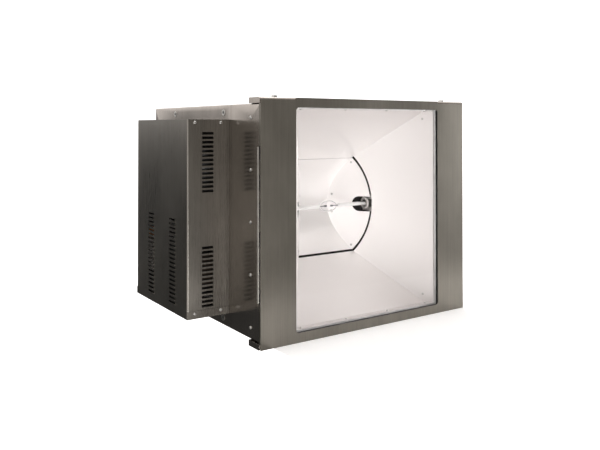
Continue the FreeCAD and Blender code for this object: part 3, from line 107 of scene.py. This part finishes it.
class Tree:
    """Adds shader nodes to a material or a world, and joins them up."""

    def __init__(self, owner):
        owner.use_nodes = True
        self.tree = owner.node_tree

    def add(self, kind, settings=None, **inputs):
        """A node. Its inputs are named with _ for a space, and take a value or a socket."""
        node = self.tree.nodes.new(kind)
        for name, value in (settings or {}).items():
            setattr(node, name, value)
        for name, value in inputs.items():
            self.feed(node, name.replace("_", " "), value)
        return node

    def feed(self, node, name, value):
        """Sets or joins an input, by its name or, for one without a plain name, as i and its number."""
        by_number = name[0] == "i" and name[1:].isdigit()
        socket = node.inputs[int(name[1:]) if by_number else name]
        if isinstance(value, bpy.types.NodeSocket):
            self.tree.links.new(value, socket)
        else:
            socket.default_value = value

    def maths(self, operation, first, second=0.5):
        return self.add("ShaderNodeMath", {"operation": operation}, i0=first, i1=second).outputs[0]

    def noise(self, coordinates, scale, detail=3, roughness=0.5):
        """Noise between 0 and 1 over coordinates that are stretched by the scale."""
        mapped = self.add("ShaderNodeMapping", Vector=coordinates, Scale=scale)
        return self.add("ShaderNodeTexNoise", Vector=mapped.outputs[0], Scale=1.0, Detail=detail,
                        Roughness=roughness).outputs["Fac"]

    def spread(self, value, low, high, start=0.0, end=1.0):
        """A value between start and end, moved to between low and high."""
        return self.add("ShaderNodeMapRange", Value=value, From_Min=start, From_Max=end,
                        To_Min=low, To_Max=high).outputs[0]

    def blend(self, share, first, second, how="MIX"):
        made = self.add("ShaderNodeMix", {"data_type": "RGBA", "blend_type": how},
                        i0=share, i6=first, i7=second)
        return made.outputs[2]

    def bump(self, height, distance, strength=1.0):
        return self.add("ShaderNodeBump", Height=height, Distance=distance,
                        Strength=strength).outputs[0]

    def object_coordinates(self):
        return self.add("ShaderNodeTexCoord").outputs["Object"]

    def along(self, axis, coordinates):
        return self.add("ShaderNodeSeparateXYZ", Vector=coordinates).outputs[axis]


def rgb(red, green, blue):
    return (red, green, blue, 1.0)


def new_material(name, **values):
    """A material with one Principled shader, its plain values set, and its tree."""
    made = bpy.data.materials.new(name)
    tree = Tree(made)
    shader = tree.tree.nodes["Principled BSDF"]
    for key, value in values.items():
        shader.inputs[key.replace("_", " ")].default_value = value
    return made, tree, shader


# ---------------------------------------------------------------- materials

def within(tree, place, low, high):
    """1 where a point is past low and short of high, with None for an open side."""
    inside = None
    for axis, least, most in zip("XYZ", low, high):
        for edge, operation in ((least, "GREATER_THAN"), (most, "LESS_THAN")):
            if edge is not None:
                past = tree.maths(operation, tree.along(axis, place), edge)
                inside = past if inside is None else tree.maths("MULTIPLY", inside, past)
    return inside


def brushed_steel(name, dark, light, roughness, painted_shade_boxes=None):
    """Stainless sheet: a grain that runs up it, broad streaks, and soft stains.

    The last argument gives two boxes, each a low and a high corner: what lies within the first
    or outside the second is painted dark as shade, which is the inside of a cover and its front louvres'
    lips.
    """
    made, tree, shader = new_material(name, Metallic=1.0, Anisotropic=0.3)
    place = tree.object_coordinates()
    normal = tree.add("ShaderNodeNewGeometry").outputs["Normal"]
    level = tree.maths("GREATER_THAN", tree.maths("ABSOLUTE", tree.along("Z", normal)), 0.8)

    def grain(across, along, detail):
        upright = tree.noise(place, (across, across, along), detail)
        lying = tree.noise(place, (across, along, across), detail)
        return tree.add("ShaderNodeMix", i0=level, i2=upright, i3=lying).outputs[0]

    fine = grain(2400, 14, 2)
    streaks = grain(210, 1.3, 4)
    stains = tree.noise(place, (5, 5, 3), 5, 0.6)
    tone = tree.maths("ADD", tree.spread(streaks, -0.35, 0.35), tree.spread(stains, -0.6, 1.6))
    glint = tree.blend(tree.spread(fine, 0.0, 1.0), rgb(0.82, 0.82, 0.82), rgb(1.18, 1.18, 1.18))
    colour = tree.blend(1.0, tree.blend(tone, rgb(*dark), rgb(*light)), glint, "MULTIPLY")
    # Painted shade: the cover's inside and its louvre lips are painted near black, as if in shadow.
    if painted_shade_boxes is not None:
        lips = tree.maths("SUBTRACT", 1.0, within(tree, place, *painted_shade_boxes[1]))
        painted_shade_mask = tree.maths("MAXIMUM", within(tree, place, *painted_shade_boxes[0]), lips)
        colour = tree.blend(painted_shade_mask, colour, rgb(0.016, 0.015, 0.014))
    worn = tree.maths("ADD", tree.spread(fine, -0.05, 0.05), tree.spread(stains, -0.05, 0.07))
    round_upright = tree.add("ShaderNodeTangent", {"direction_type": "RADIAL", "axis": "Z"})
    tree.feed(shader, "Base Color", colour)
    tree.feed(shader, "Roughness", tree.maths("ADD", worn, roughness))
    tree.feed(shader, "Normal", tree.bump(fine, 0.00002, 0.6))
    tree.feed(shader, "Tangent", round_upright.outputs[0])
    return made


def plain_metal(name, colour, roughness, marks=900, metallic=1.0):
    """Turned, drawn or plated metal with fine marks and a little dirt."""
    made, tree, shader = new_material(name, Metallic=metallic)
    place = tree.object_coordinates()
    fine = tree.noise(place, (marks, marks, marks), 3)
    dirt = tree.noise(place, (60, 60, 60), 4, 0.6)
    dull = rgb(*[part * 0.72 for part in colour])
    tree.feed(shader, "Base Color", tree.blend(tree.spread(dirt, -0.4, 1.6), dull, rgb(*colour)))
    tree.feed(shader, "Roughness", tree.spread(fine, roughness - 0.08, roughness + 0.12))
    tree.feed(shader, "Normal", tree.bump(fine, 0.00002))
    return made


def matt(name, colour, second, roughness):
    """Painted, moulded, fired or rubber surfaces: two close colours and a fine texture."""
    made, tree, shader = new_material(name)
    place = tree.object_coordinates()
    cloud = tree.noise(place, (20, 20, 20), 4, 0.6)
    skin = tree.noise(place, (1440, 1440, 1440), 2)
    tree.feed(shader, "Base Color", tree.blend(tree.spread(cloud, -0.3, 1.3), rgb(*colour), rgb(*second)))
    tree.feed(shader, "Roughness", tree.spread(cloud, roughness - 0.08, roughness + 0.08))
    tree.feed(shader, "Normal", tree.bump(skin, 0.00008))
    return made


def two_tone(name, label, case, edge, roughness):
    """A label's pair of close colours up to a plane across X, and a case's pair beyond it."""
    made, tree, shader = new_material(name)
    place = tree.object_coordinates()
    skin = tree.noise(place, (900, 900, 900), 3)
    label_colour = tree.blend(skin, rgb(*label[0]), rgb(*label[1]))
    case_colour = tree.blend(skin, rgb(*case[0]), rgb(*case[1]))
    beyond = tree.maths("GREATER_THAN", tree.along("X", place), edge)
    tree.feed(shader, "Base Color", tree.blend(beyond, label_colour, case_colour))
    tree.feed(shader, "Roughness", tree.spread(skin, roughness - 0.08, roughness + 0.08))
    tree.feed(shader, "Normal", tree.bump(skin, 0.00004))
    return made


def bright_sheet(name, shade_start, shade_end):
    """Anodised reflector sheet: pale, half matt, faintly rolled, and painted darker towards its front as
    shade.
    """
    made, tree, shader = new_material(name, Metallic=0.6)
    place = tree.object_coordinates()
    rolled = tree.noise(place, (6, 500, 500), 3)
    haze = tree.noise(place, (7, 7, 7), 4, 0.55)
    # Painted shade: the sheet's colour is darker at its front edge and paler towards its back.
    unshaded_share = tree.spread(tree.along("Y", place), 0.0, 1.0, shade_start, shade_end)
    front = tree.blend(haze, rgb(0.69, 0.658, 0.648), rgb(0.76, 0.728, 0.718))
    back = tree.blend(haze, rgb(0.95, 0.925, 0.915), rgb(0.975, 0.955, 0.945))
    tree.feed(shader, "Base Color", tree.blend(unshaded_share, front, back))
    tree.feed(shader, "Roughness", tree.spread(tree.maths("ADD", rolled, haze), 0.28, 0.46, 0.6, 1.4))
    tree.feed(shader, "Normal", tree.bump(rolled, 0.00003, 0.5))
    return made


def clear(name, tint, index, smudge):
    """Glass that lamps shine through; its surface is slightly smudged."""
    made, tree, shader = new_material(name, Transmission_Weight=1.0, IOR=index, Base_Color=rgb(*tint))
    film = tree.noise(tree.object_coordinates(), (18, 18, 18), 5, 0.6)
    tree.feed(shader, "Roughness", tree.spread(film, 0.0, smudge, 0.35, 0.8))
    through = tree.add("ShaderNodeBsdfTransparent", Color=rgb(*tint))
    lamp_ray = tree.add("ShaderNodeLightPath").outputs["Is Shadow Ray"]
    mixed = tree.add("ShaderNodeMixShader", i0=lamp_ray, i1=shader.outputs[0], i2=through.outputs[0])
    tree.feed(tree.tree.nodes["Material Output"], "Surface", mixed.outputs[0])
    return made


# Where the reflector sheet's painted shade runs, from darkest at its front to none further back.
PAINTED_SHADE_FROM = door_low[1] + 0.010
PAINTED_SHADE_TO = door_low[1] + 0.190
IGNITER_LABEL_LENGTH = 0.026
IGNITER_LABEL_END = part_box("igniter_case")[0][0] + IGNITER_LABEL_LENGTH

# The cover's inside starts a little short of the sheet's inner face, so its round bends stay clean. These
# boxes mark the painted shade: the cover's inside, and its louvre lips in front of its face.
COVER_SKIN = 0.00105
LIP_REACH = 0.0023
FACE_MARGIN = 0.0002
cover_low, cover_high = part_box("gear_box_cover")
cover_left, cover_front = cover_low[0] + LIP_REACH, cover_low[1] + LIP_REACH
COVER_INSIDE = ((cover_left + COVER_SKIN, cover_front + COVER_SKIN, None),
                (None, cover_high[1] - COVER_SKIN, None))
COVER_BEHIND_LIPS = ((None, cover_front - FACE_MARGIN, None), (None, None, None))

SURFACES = {
    "door_steel": (brushed_steel, (0.160, 0.148, 0.128), (0.228, 0.212, 0.184), 0.33),
    "housing_steel": (brushed_steel, (0.295, 0.268, 0.243), (0.425, 0.387, 0.355), 0.18),
    "gear_box_steel": (brushed_steel, (0.190, 0.178, 0.160), (0.275, 0.256, 0.230), 0.28),
    # The cover's own finish paints shade on its inside and on its louvre lips.
    "cover_steel": (brushed_steel, (0.190, 0.178, 0.160), (0.275, 0.256, 0.230), 0.28,
                    (COVER_INSIDE, COVER_BEHIND_LIPS)),
    "hinge_steel": (plain_metal, (0.30, 0.285, 0.26), 0.36),
    "fastener_steel": (plain_metal, (0.60, 0.59, 0.57), 0.30),
    "tempered_glass": (clear, (0.995, 0.990, 0.990), 1.2, 0.04),
    "gasket_rubber": (matt, (0.012, 0.012, 0.012), (0.022, 0.021, 0.020), 0.55),
    "reflector_sheet": (bright_sheet, PAINTED_SHADE_FROM, PAINTED_SHADE_TO),
    "galvanised_steel": (plain_metal, (0.88, 0.87, 0.86), 0.42, 240, 0.35),
    # The parts on black_steel, the heat shield and the lamp uprights, are painted black as shade, since
    # little light reaches them.
    "black_steel": (matt, (0.010, 0.010, 0.010), (0.018, 0.017, 0.016), 0.75),
    "quartz": (clear, (0.995, 0.995, 1.0), 1.06, 0.02),
    "frosted_quartz": (matt, (0.80, 0.79, 0.78), (0.90, 0.89, 0.88), 0.28),
    "tungsten": (plain_metal, (0.24, 0.24, 0.25), 0.5),
    "lamp_base_metal": (plain_metal, (0.60, 0.59, 0.56), 0.28),
    "white_ceramic": (matt, (0.88, 0.83, 0.79), (0.94, 0.90, 0.87), 0.50),
    "core_lacquer": (matt, (0.020, 0.020, 0.022), (0.035, 0.033, 0.032), 0.45),
    "winding_insulation": (matt, (0.035, 0.020, 0.012), (0.060, 0.036, 0.020), 0.4),
    "igniter_plastic": (two_tone, ((0.80, 0.36, 0.12), (0.86, 0.46, 0.20)),
                        ((0.030, 0.026, 0.024), (0.045, 0.040, 0.036)), IGNITER_LABEL_END, 0.45),
    "capacitor_aluminium": (plain_metal, (0.30, 0.30, 0.31), 0.55),
    "gland_brass": (plain_metal, (0.56, 0.54, 0.49), 0.27),
    "lead_silicone": (matt, (0.55, 0.51, 0.44), (0.68, 0.64, 0.56), 0.6),
}
FINISHES = {name: make(name, *values) for name, (make, *values) in SURFACES.items()}

# Nodes with a finish of their own; every other node has its slot's. The door's channels take the paler
# housing steel as painted light, so that their end flaps read light.
OTHER_FINISH = {"door_top_channel": "housing_steel", "door_bottom_channel": "housing_steel",
                "gear_box_cover": "cover_steel"}
finish_of = {**slot_of, **OTHER_FINISH}
for name, cad_node in nodes.items():
    cad_node.data.materials.clear()
    cad_node.data.materials.append(FINISHES[finish_of[name]])

# ---------------------------------------------------------------- pieces in place of CAD nodes

# Corners closer than WELD are one, a ring narrower than POINT is a point, and places within
# TOUCHING of each other count as level.
WELD = 1e-6
POINT = 1e-7
TOUCHING = 1e-4
CREASE = math.radians(32)
FLAT = math.radians(0.6)
EDGE_TO_ROUND = math.radians(38)
SHEET_EDGE = 0.0003
SEAM_EDGE = 0.0006
TURNED_STEPS = 20
LAMP_STEPS = 28


def add_piece(name, mesh, node, *finishes):
    """A visible piece on the body of the CAD node that it replaces, with that node's finish or others."""
    piece = put_in_scene(name, mesh)
    for finish in finishes or (finish_of[node],):
        mesh.materials.append(FINISHES[finish])
    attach(piece, body_of[node])
    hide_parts(node)
    return piece


def welded(node):
    """The CAD node's mesh with its separate faces joined up again."""
    work = bmesh.new()
    work.from_mesh(nodes[node].data)
    bmesh.ops.remove_doubles(work, verts=work.verts, dist=WELD)
    return work


def creased_mesh(work, name):
    """Ends a bmesh as a mesh that is shaded smooth up to its creases."""
    mesh = to_mesh(work, name)
    mesh.shade_smooth()
    mesh.set_sharp_from_angle(angle=CREASE)
    return mesh


def soften(node, width):
    """The node's own shape with rounded edges, as sheet has after it is cut and deburred."""
    work = welded(node)
    bmesh.ops.dissolve_limit(work, angle_limit=FLAT, verts=work.verts, edges=work.edges)
    piece = add_piece(node + "_soft", creased_mesh(work, node + "_soft"), node)
    rounding = piece.modifiers.new("edges", "BEVEL")
    rounding.width = width
    rounding.segments = 2
    rounding.limit_method = "ANGLE"
    rounding.angle_limit = EDGE_TO_ROUND
    rounding.use_clamp_overlap = True
    rounding.harden_normals = True


def islands(node):
    """The separate solids of a CAD node, each as an array of its corners and its axis."""
    work = welded(node)
    left = set(work.faces)
    found = []
    while left:
        queue = [left.pop()]
        faces = []
        while queue:
            face = queue.pop()
            faces.append(face)
            for edge in face.edges:
                for other in edge.link_faces:
                    if other in left:
                        left.discard(other)
                        queue.append(other)
        area = {}
        for face in faces:
            normal = tuple(round(part, 2) for part in face.normal)
            area[normal] = area.get(normal, 0.0) + face.calc_area()
        both = {normal: size + area.get(tuple(-part for part in normal), 0.0)
                for normal, size in area.items()}
        axis = np.array(max(both, key=both.get))
        corners = np.array([tuple(corner.co) for face in faces for corner in face.verts])
        found.append((corners, axis / np.linalg.norm(axis)))
    work.free()
    return found


def turned_part(corners, axis):
    """Where a turned part is: its head's outer end, its inward axis, its radii and lengths."""
    middle = (corners.min(0) + corners.max(0)) / 2
    along = (corners - middle) @ axis
    off = np.linalg.norm(corners - middle - np.outer(along, axis), axis=1)
    ends = [off[np.abs(along - end) < TOUCHING].max() for end in (along.min(), along.max())]
    if ends[1] > ends[0]:
        axis, along = -axis, -along
    head = off.max()
    wide = along[off > head - TOUCHING]
    neck = off[np.abs(along - along.max()) < TOUCHING].max()
    start = middle + axis * along.min()
    return {"start": Vector(start), "axis": Vector(axis), "head": head, "neck": neck,
            "head_length": wide.max() - along.min(), "length": along.max() - along.min()}


def around(steps):
    return [math.tau * step / steps for step in range(steps)]


def skin_over(work, rings, steps, inward=False):
    """Faces from each ring of corners to the next, where a ring may be a single point."""
    for first, second in zip(rings, rings[1:]):
        for step in range(steps):
            after = (step + 1) % steps
            corners = [first[step % len(first)], first[after % len(first)],
                       second[after % len(second)], second[step % len(second)]]
            single = list(dict.fromkeys(corners))
            if len(single) > 2:
                face = work.faces.new(single[::-1] if inward else single)
                face.smooth = True


def lathe(work, outline, start, axis):
    """Turns an outline of (radius, distance) pairs round an axis; closed where the radius is 0."""
    turn = axis.to_track_quat("Z", "X").to_matrix()
    rings = []
    for radius, far in outline:
        points = [(0, 0, far)]
        if radius > POINT:
            points = [(radius * math.cos(angle), radius * math.sin(angle), far)
                      for angle in around(TURNED_STEPS)]
        rings.append([work.verts.new(start + turn @ Vector(point)) for point in points])
    skin_over(work, rings, TURNED_STEPS)


def screw_outline(place):
    """A pan head with a round edge and a dished drive, over a threaded shank."""
    head, neck, tall, length = (place[key] for key in ("head", "neck", "head_length", "length"))
    outline = [(0.0, tall * 0.55), (head * 0.28, tall * 0.50), (head * 0.36, tall * 0.06)]
    for step in range(7):
        angle = math.radians(90 * step / 6)
        outline.append((head * (0.42 + 0.58 * math.sin(angle)),
                        tall * (0.02 + 0.78 * (1 - math.cos(angle)))))
    outline += [(head, tall), (neck, tall)]
    pitch = neck * 0.45
    turns = max(1, int((length - tall) * 0.9 / pitch))
    for turn in range(turns):
        base = tall + (length - tall) * 0.05 + turn * pitch
        outline += [(neck, base), (neck * 0.84, base + pitch / 2)]
    outline += [(neck * 0.8, length * 0.99), (0.0, length)]
    return outline


def rivet_outline(place):
    """A domed head and a plain shank with a flared tail."""
    head, neck, tall, length = (place[key] for key in ("head", "neck", "head_length", "length"))
    outline = [(0.0, 0.0)]
    for step in range(1, 7):
        angle = math.radians(90 * step / 6)
        outline.append((head * math.sin(angle), tall * (1 - math.cos(angle))))
    return outline + [(neck * 0.62, tall), (neck * 0.62, length * 0.75),
                      (neck, length * 0.8), (neck * 0.9, length), (0.0, length)]


def turned_pieces(node, outline_of, *finishes):
    """One piece with every part of a node turned anew from its outline."""
    work = bmesh.new()
    for corners, axis in islands(node):
        place = turned_part(corners, axis)
        lathe(work, outline_of(place), place["start"], place["axis"])
    bmesh.ops.recalc_face_normals(work, faces=work.faces)
    add_piece(node + "_turned", creased_mesh(work, node + "_turned"), node, *finishes)


SHEET_NODES = ("door_frame", "door_top_channel", "door_bottom_channel", "front_shell", "rear_shell",
               "rear_panel", "gear_box_tray", "gear_box_lid", "hinge_door_leaf", "hinge_housing_leaf")
# The width of each softened node's rounded edges; the front shell's are wider, for the seam.
SOFT_NODES = {
    **dict.fromkeys(SHEET_NODES, SHEET_EDGE),
    "front_shell": SEAM_EDGE,
    "clamp_bolts": 0.0005, "clamp_nuts": 0.0005, "retainer_nuts": 0.0004,
    "lamp_holder_left": 0.0012, "lamp_holder_right": 0.0012, "lamp_collars": 0.0005,
    "lamp_bases": 0.0006, "terminal_blocks": 0.0005, "ballast_core": 0.0006,
    "ballast_winding": 0.004, "capacitors": 0.0015, "gland_nut": 0.0005,
}
for node, width in SOFT_NODES.items():
    soften(node, width)
for node in ("shell_screws", "rear_panel_screws", "ledge_screws", "gear_box_screws"):
    turned_pieces(node, screw_outline)
turned_pieces("reflector_rivets", rivet_outline, "fastener_steel")


# ---------------------------------------------------------------- lamp

# Distances along the lamp from its middle, with half depths and half heights.
BULB_STATIONS = 14
BULB_HALF, BULB_RADIUS, BULB_REACH = 0.031, 0.015, 0.80
CAVITY_HALF, CAVITY_RADIUS = 0.0235, 0.0128
STEM_RADIUS = 0.0046
PINCH = [(0.0300, 0.0042, STEM_RADIUS), (0.0345, 0.0027, 0.0049), (0.0400, 0.0024, 0.0050),
         (0.0960, 0.0024, 0.0050), (0.1010, 0.0034, 0.0048), (0.1060, STEM_RADIUS, STEM_RADIUS)]
FOIL = [(0.044, 0.0002), (0.050, 0.0021), (0.088, 0.0021), (0.094, 0.0002)]
FOIL_HALF_THICKNESS = 0.00012


def loft(work, middle, stations, inward=False):
    """A skin over elliptic rings along X: each station is (distance, half depth, half height)."""
    rings = []
    for far, deep, tall in stations:
        points = [(far, 0, 0)]
        if max(deep, tall) > POINT:
            points = [(far, deep * math.cos(angle), tall * math.sin(angle))
                      for angle in around(LAMP_STEPS)]
        rings.append([work.verts.new(middle + Vector(point)) for point in points])
    skin_over(work, rings, LAMP_STEPS, inward)


def egg(half, radius, reach):
    """Stations of an ellipsoid from its widest section out to a share of its half length."""
    angles = [math.radians(90 * reach * step / BULB_STATIONS) for step in range(BULB_STATIONS + 1)]
    return [(half * math.sin(angle), radius * math.cos(angle), radius * math.cos(angle))
            for angle in angles]


def mirrored(stations):
    """The same stations on the other side of the lamp's middle, in order along X."""
    return [(-far, deep, tall) for far, deep, tall in stations[::-1]]


quartz_low, quartz_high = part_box("lamp_quartz")
lamp_middle = (quartz_low + quartz_high) / 2
lamp_half = (quartz_high[0] - quartz_low[0]) / 2


def lamp_burner():
    """The quartz bulb round its cavity, and the seals that are pinched flat on both sides."""
    work = bmesh.new()
    bulb = egg(BULB_HALF, BULB_RADIUS, BULB_REACH)
    loft(work, lamp_middle, mirrored(bulb[1:]) + bulb)
    cavity = egg(CAVITY_HALF, CAVITY_RADIUS, 1.0)
    cavity[-1] = (CAVITY_HALF, 0.0, 0.0)
    loft(work, lamp_middle, mirrored(cavity[1:]) + cavity, inward=True)
    seal = [bulb[-1]] + PINCH + [(lamp_half, STEM_RADIUS, STEM_RADIUS), (lamp_half, 0.0, 0.0)]
    loft(work, lamp_middle, seal)
    loft(work, lamp_middle, mirrored(seal))
    bmesh.ops.remove_doubles(work, verts=work.verts, dist=WELD)
    mesh = to_mesh(work, "lamp_burner")
    add_piece("lamp_burner", mesh, "lamp_quartz", "quartz", "frosted_quartz")
    seal_start = PINCH[0][0]
    for face in mesh.polygons:
        face.material_index = int(abs(face.center[0] - lamp_middle[0]) > seal_start)


def electrodes_and_foils():
    """The electrodes, and the thin foil in each seal that carries their current."""
    work = welded("lamp_electrodes")
    for side in (-1, 1):
        edges = [[work.verts.new(lamp_middle + Vector((side * far, thick, sign * tall)))
                  for far, tall in FOIL]
                 for sign, thick in ((-1, -FOIL_HALF_THICKNESS), (-1, FOIL_HALF_THICKNESS),
                                     (1, FOIL_HALF_THICKNESS), (1, -FOIL_HALF_THICKNESS))]
        for first, second in zip(edges, edges[1:] + edges[:1]):
            for index in range(len(FOIL) - 1):
                work.faces.new([first[index], first[index + 1], second[index + 1], second[index]])
        for index in (0, -1):
            work.faces.new([edge[index] for edge in edges])
    bmesh.ops.recalc_face_normals(work, faces=work.faces)
    add_piece("electrodes_and_foils", creased_mesh(work, "electrodes_and_foils"), "lamp_electrodes")


lamp_burner()
electrodes_and_foils()


# ---------------------------------------------------------------- studio

PAPER_LEFT, PAPER_RIGHT = -0.23, 0.85
PAPER_FRONT, PAPER_BACK = -0.64, 0.75
PAPER_CORNER = 0.12
BACKDROP_RADIUS = 12.0
ROOM = (0.29, 0.275, 0.255)
ROOM_BEHIND = (0.06, 0.060, 0.059)
SIDE_WINDOW_HEADING = (-0.96, -0.28, 0.0)
SIDE_WINDOW_EDGE = (0.86, 0.94)
BRIGHT = (1.45, 1.41, 1.38)
BACKDROP_HEADING = (0.561, 0.828, 0.0)
BACKDROP_EDGE = (0.75, 0.80)
LEFT_WALL_HEADING = (-0.45, 0.89, 0.0)
LEFT_WALL_EDGE = (0.55, 0.75)
LEFT_WALL_FOOT = (0.0, 0.05)
CEILING = (0.45, 0.65)


def stage_floor():
    """A pale sheet of paper, with round corners, under the object."""
    sheet = bmesh.new()
    corners = [(PAPER_LEFT, PAPER_FRONT), (PAPER_RIGHT, PAPER_FRONT),
               (PAPER_RIGHT, PAPER_BACK), (PAPER_LEFT, PAPER_BACK)]
    outline = [sheet.verts.new((x, y, 0.0)) for x, y in corners]
    sheet.faces.new(outline)
    bmesh.ops.bevel(sheet, geom=outline, offset=PAPER_CORNER, segments=10, affect="VERTICES", profile=0.5)
    mesh = to_mesh(sheet, "floor")
    floor = put_in_scene("floor", mesh)
    floor.location = (0.0, 0.0, cad_low[2])
    paper, tree, shader = new_material("paper", Roughness=0.9, Emission_Color=rgb(1, 1, 1),
                                       Emission_Strength=0.12)
    fibre = tree.noise(tree.object_coordinates(), (9, 9, 9), 3)
    tree.feed(shader, "Base Color", tree.blend(fibre, rgb(0.93, 0.93, 0.93), rgb(0.95, 0.95, 0.95)))
    mesh.materials.append(paper)


def stage_backdrop():
    """A plain white backdrop all round, which is looked at but lights nothing."""
    shell = bmesh.new()
    bmesh.ops.create_uvsphere(shell, u_segments=48, v_segments=24, radius=BACKDROP_RADIUS)
    mesh = to_mesh(shell, "backdrop")
    backdrop = put_in_scene("backdrop", mesh)
    paint, tree, shader = new_material("backdrop_paint", Roughness=0.9, Emission_Strength=1.0)
    weave = tree.noise(tree.object_coordinates(), (3, 3, 3), 3)
    tree.feed(shader, "Emission Color", tree.blend(weave, rgb(1.0, 1.0, 1.0), rgb(1.02, 1.02, 1.02)))
    mesh.materials.append(paint)
    backdrop.visible_diffuse = False
    backdrop.visible_glossy = False
    backdrop.visible_transmission = False
    backdrop.visible_shadow = False


def studio_world():
    """Soft light: a dim room with a bright ceiling, a bright window, and bright walls behind."""
    world = bpy.data.worlds.new("studio")
    tree = Tree(world)
    toward = tree.add("ShaderNodeTexCoord").outputs["Generated"]
    height = tree.along("Z", toward)

    def facing(heading, low, high):
        """1 near a heading and 0 away from it, by the cosine between low and high."""
        across = tree.add("ShaderNodeVectorMath", {"operation": "DOT_PRODUCT"}, i0=toward, i1=heading)
        return tree.spread(across.outputs["Value"], 0.0, 1.0, low, high)

    backdrop = facing(BACKDROP_HEADING, *BACKDROP_EDGE)
    wall = tree.maths("MULTIPLY", facing(LEFT_WALL_HEADING, *LEFT_WALL_EDGE),
                      tree.spread(height, 0.0, 1.0, *LEFT_WALL_FOOT))
    ceiling = tree.spread(height, 0.0, 1.0, *CEILING)
    window = facing(SIDE_WINDOW_HEADING, *SIDE_WINDOW_EDGE)
    bright = backdrop
    for other in (wall, ceiling, window):
        bright = tree.maths("MAXIMUM", bright, other)
    room = tree.blend(facing((0.0, 1.0, 0.0), -0.2, 0.6), rgb(*ROOM), rgb(*ROOM_BEHIND))
    tree.feed(tree.tree.nodes["Background"], "Color", tree.blend(bright, room, rgb(*BRIGHT)))
    bpy.context.scene.world = world


def area_light(name, location, target, size, power):
    data = bpy.data.lights.new(name, "AREA")
    data.shape = "RECTANGLE"
    data.size, data.size_y = size
    data.energy = power
    light = put_in_scene(name, data)
    light.location = location
    light.rotation_euler = (Vector(target) - Vector(location)).to_track_quat("-Z", "Y").to_euler()


stage_floor()
stage_backdrop()
studio_world()
area_light("key", (-1.6, -2.8, 0.20), (0.0, -0.1, 0.30), (1.6, 1.7), 5)
area_light("front", (-0.50, -2.9, -0.7), (0.05, 0.0, 0.30), (0.8, 0.8), 21)
area_light("right_strip", (2.9, -1.2, 0.5), (0.0, -0.2, 0.28), (0.8, 1.6), 44)
area_light("top", (0.4, 1.0, 2.4), (0.2, 0.0, 0.0), (1.6, 1.6), 38)
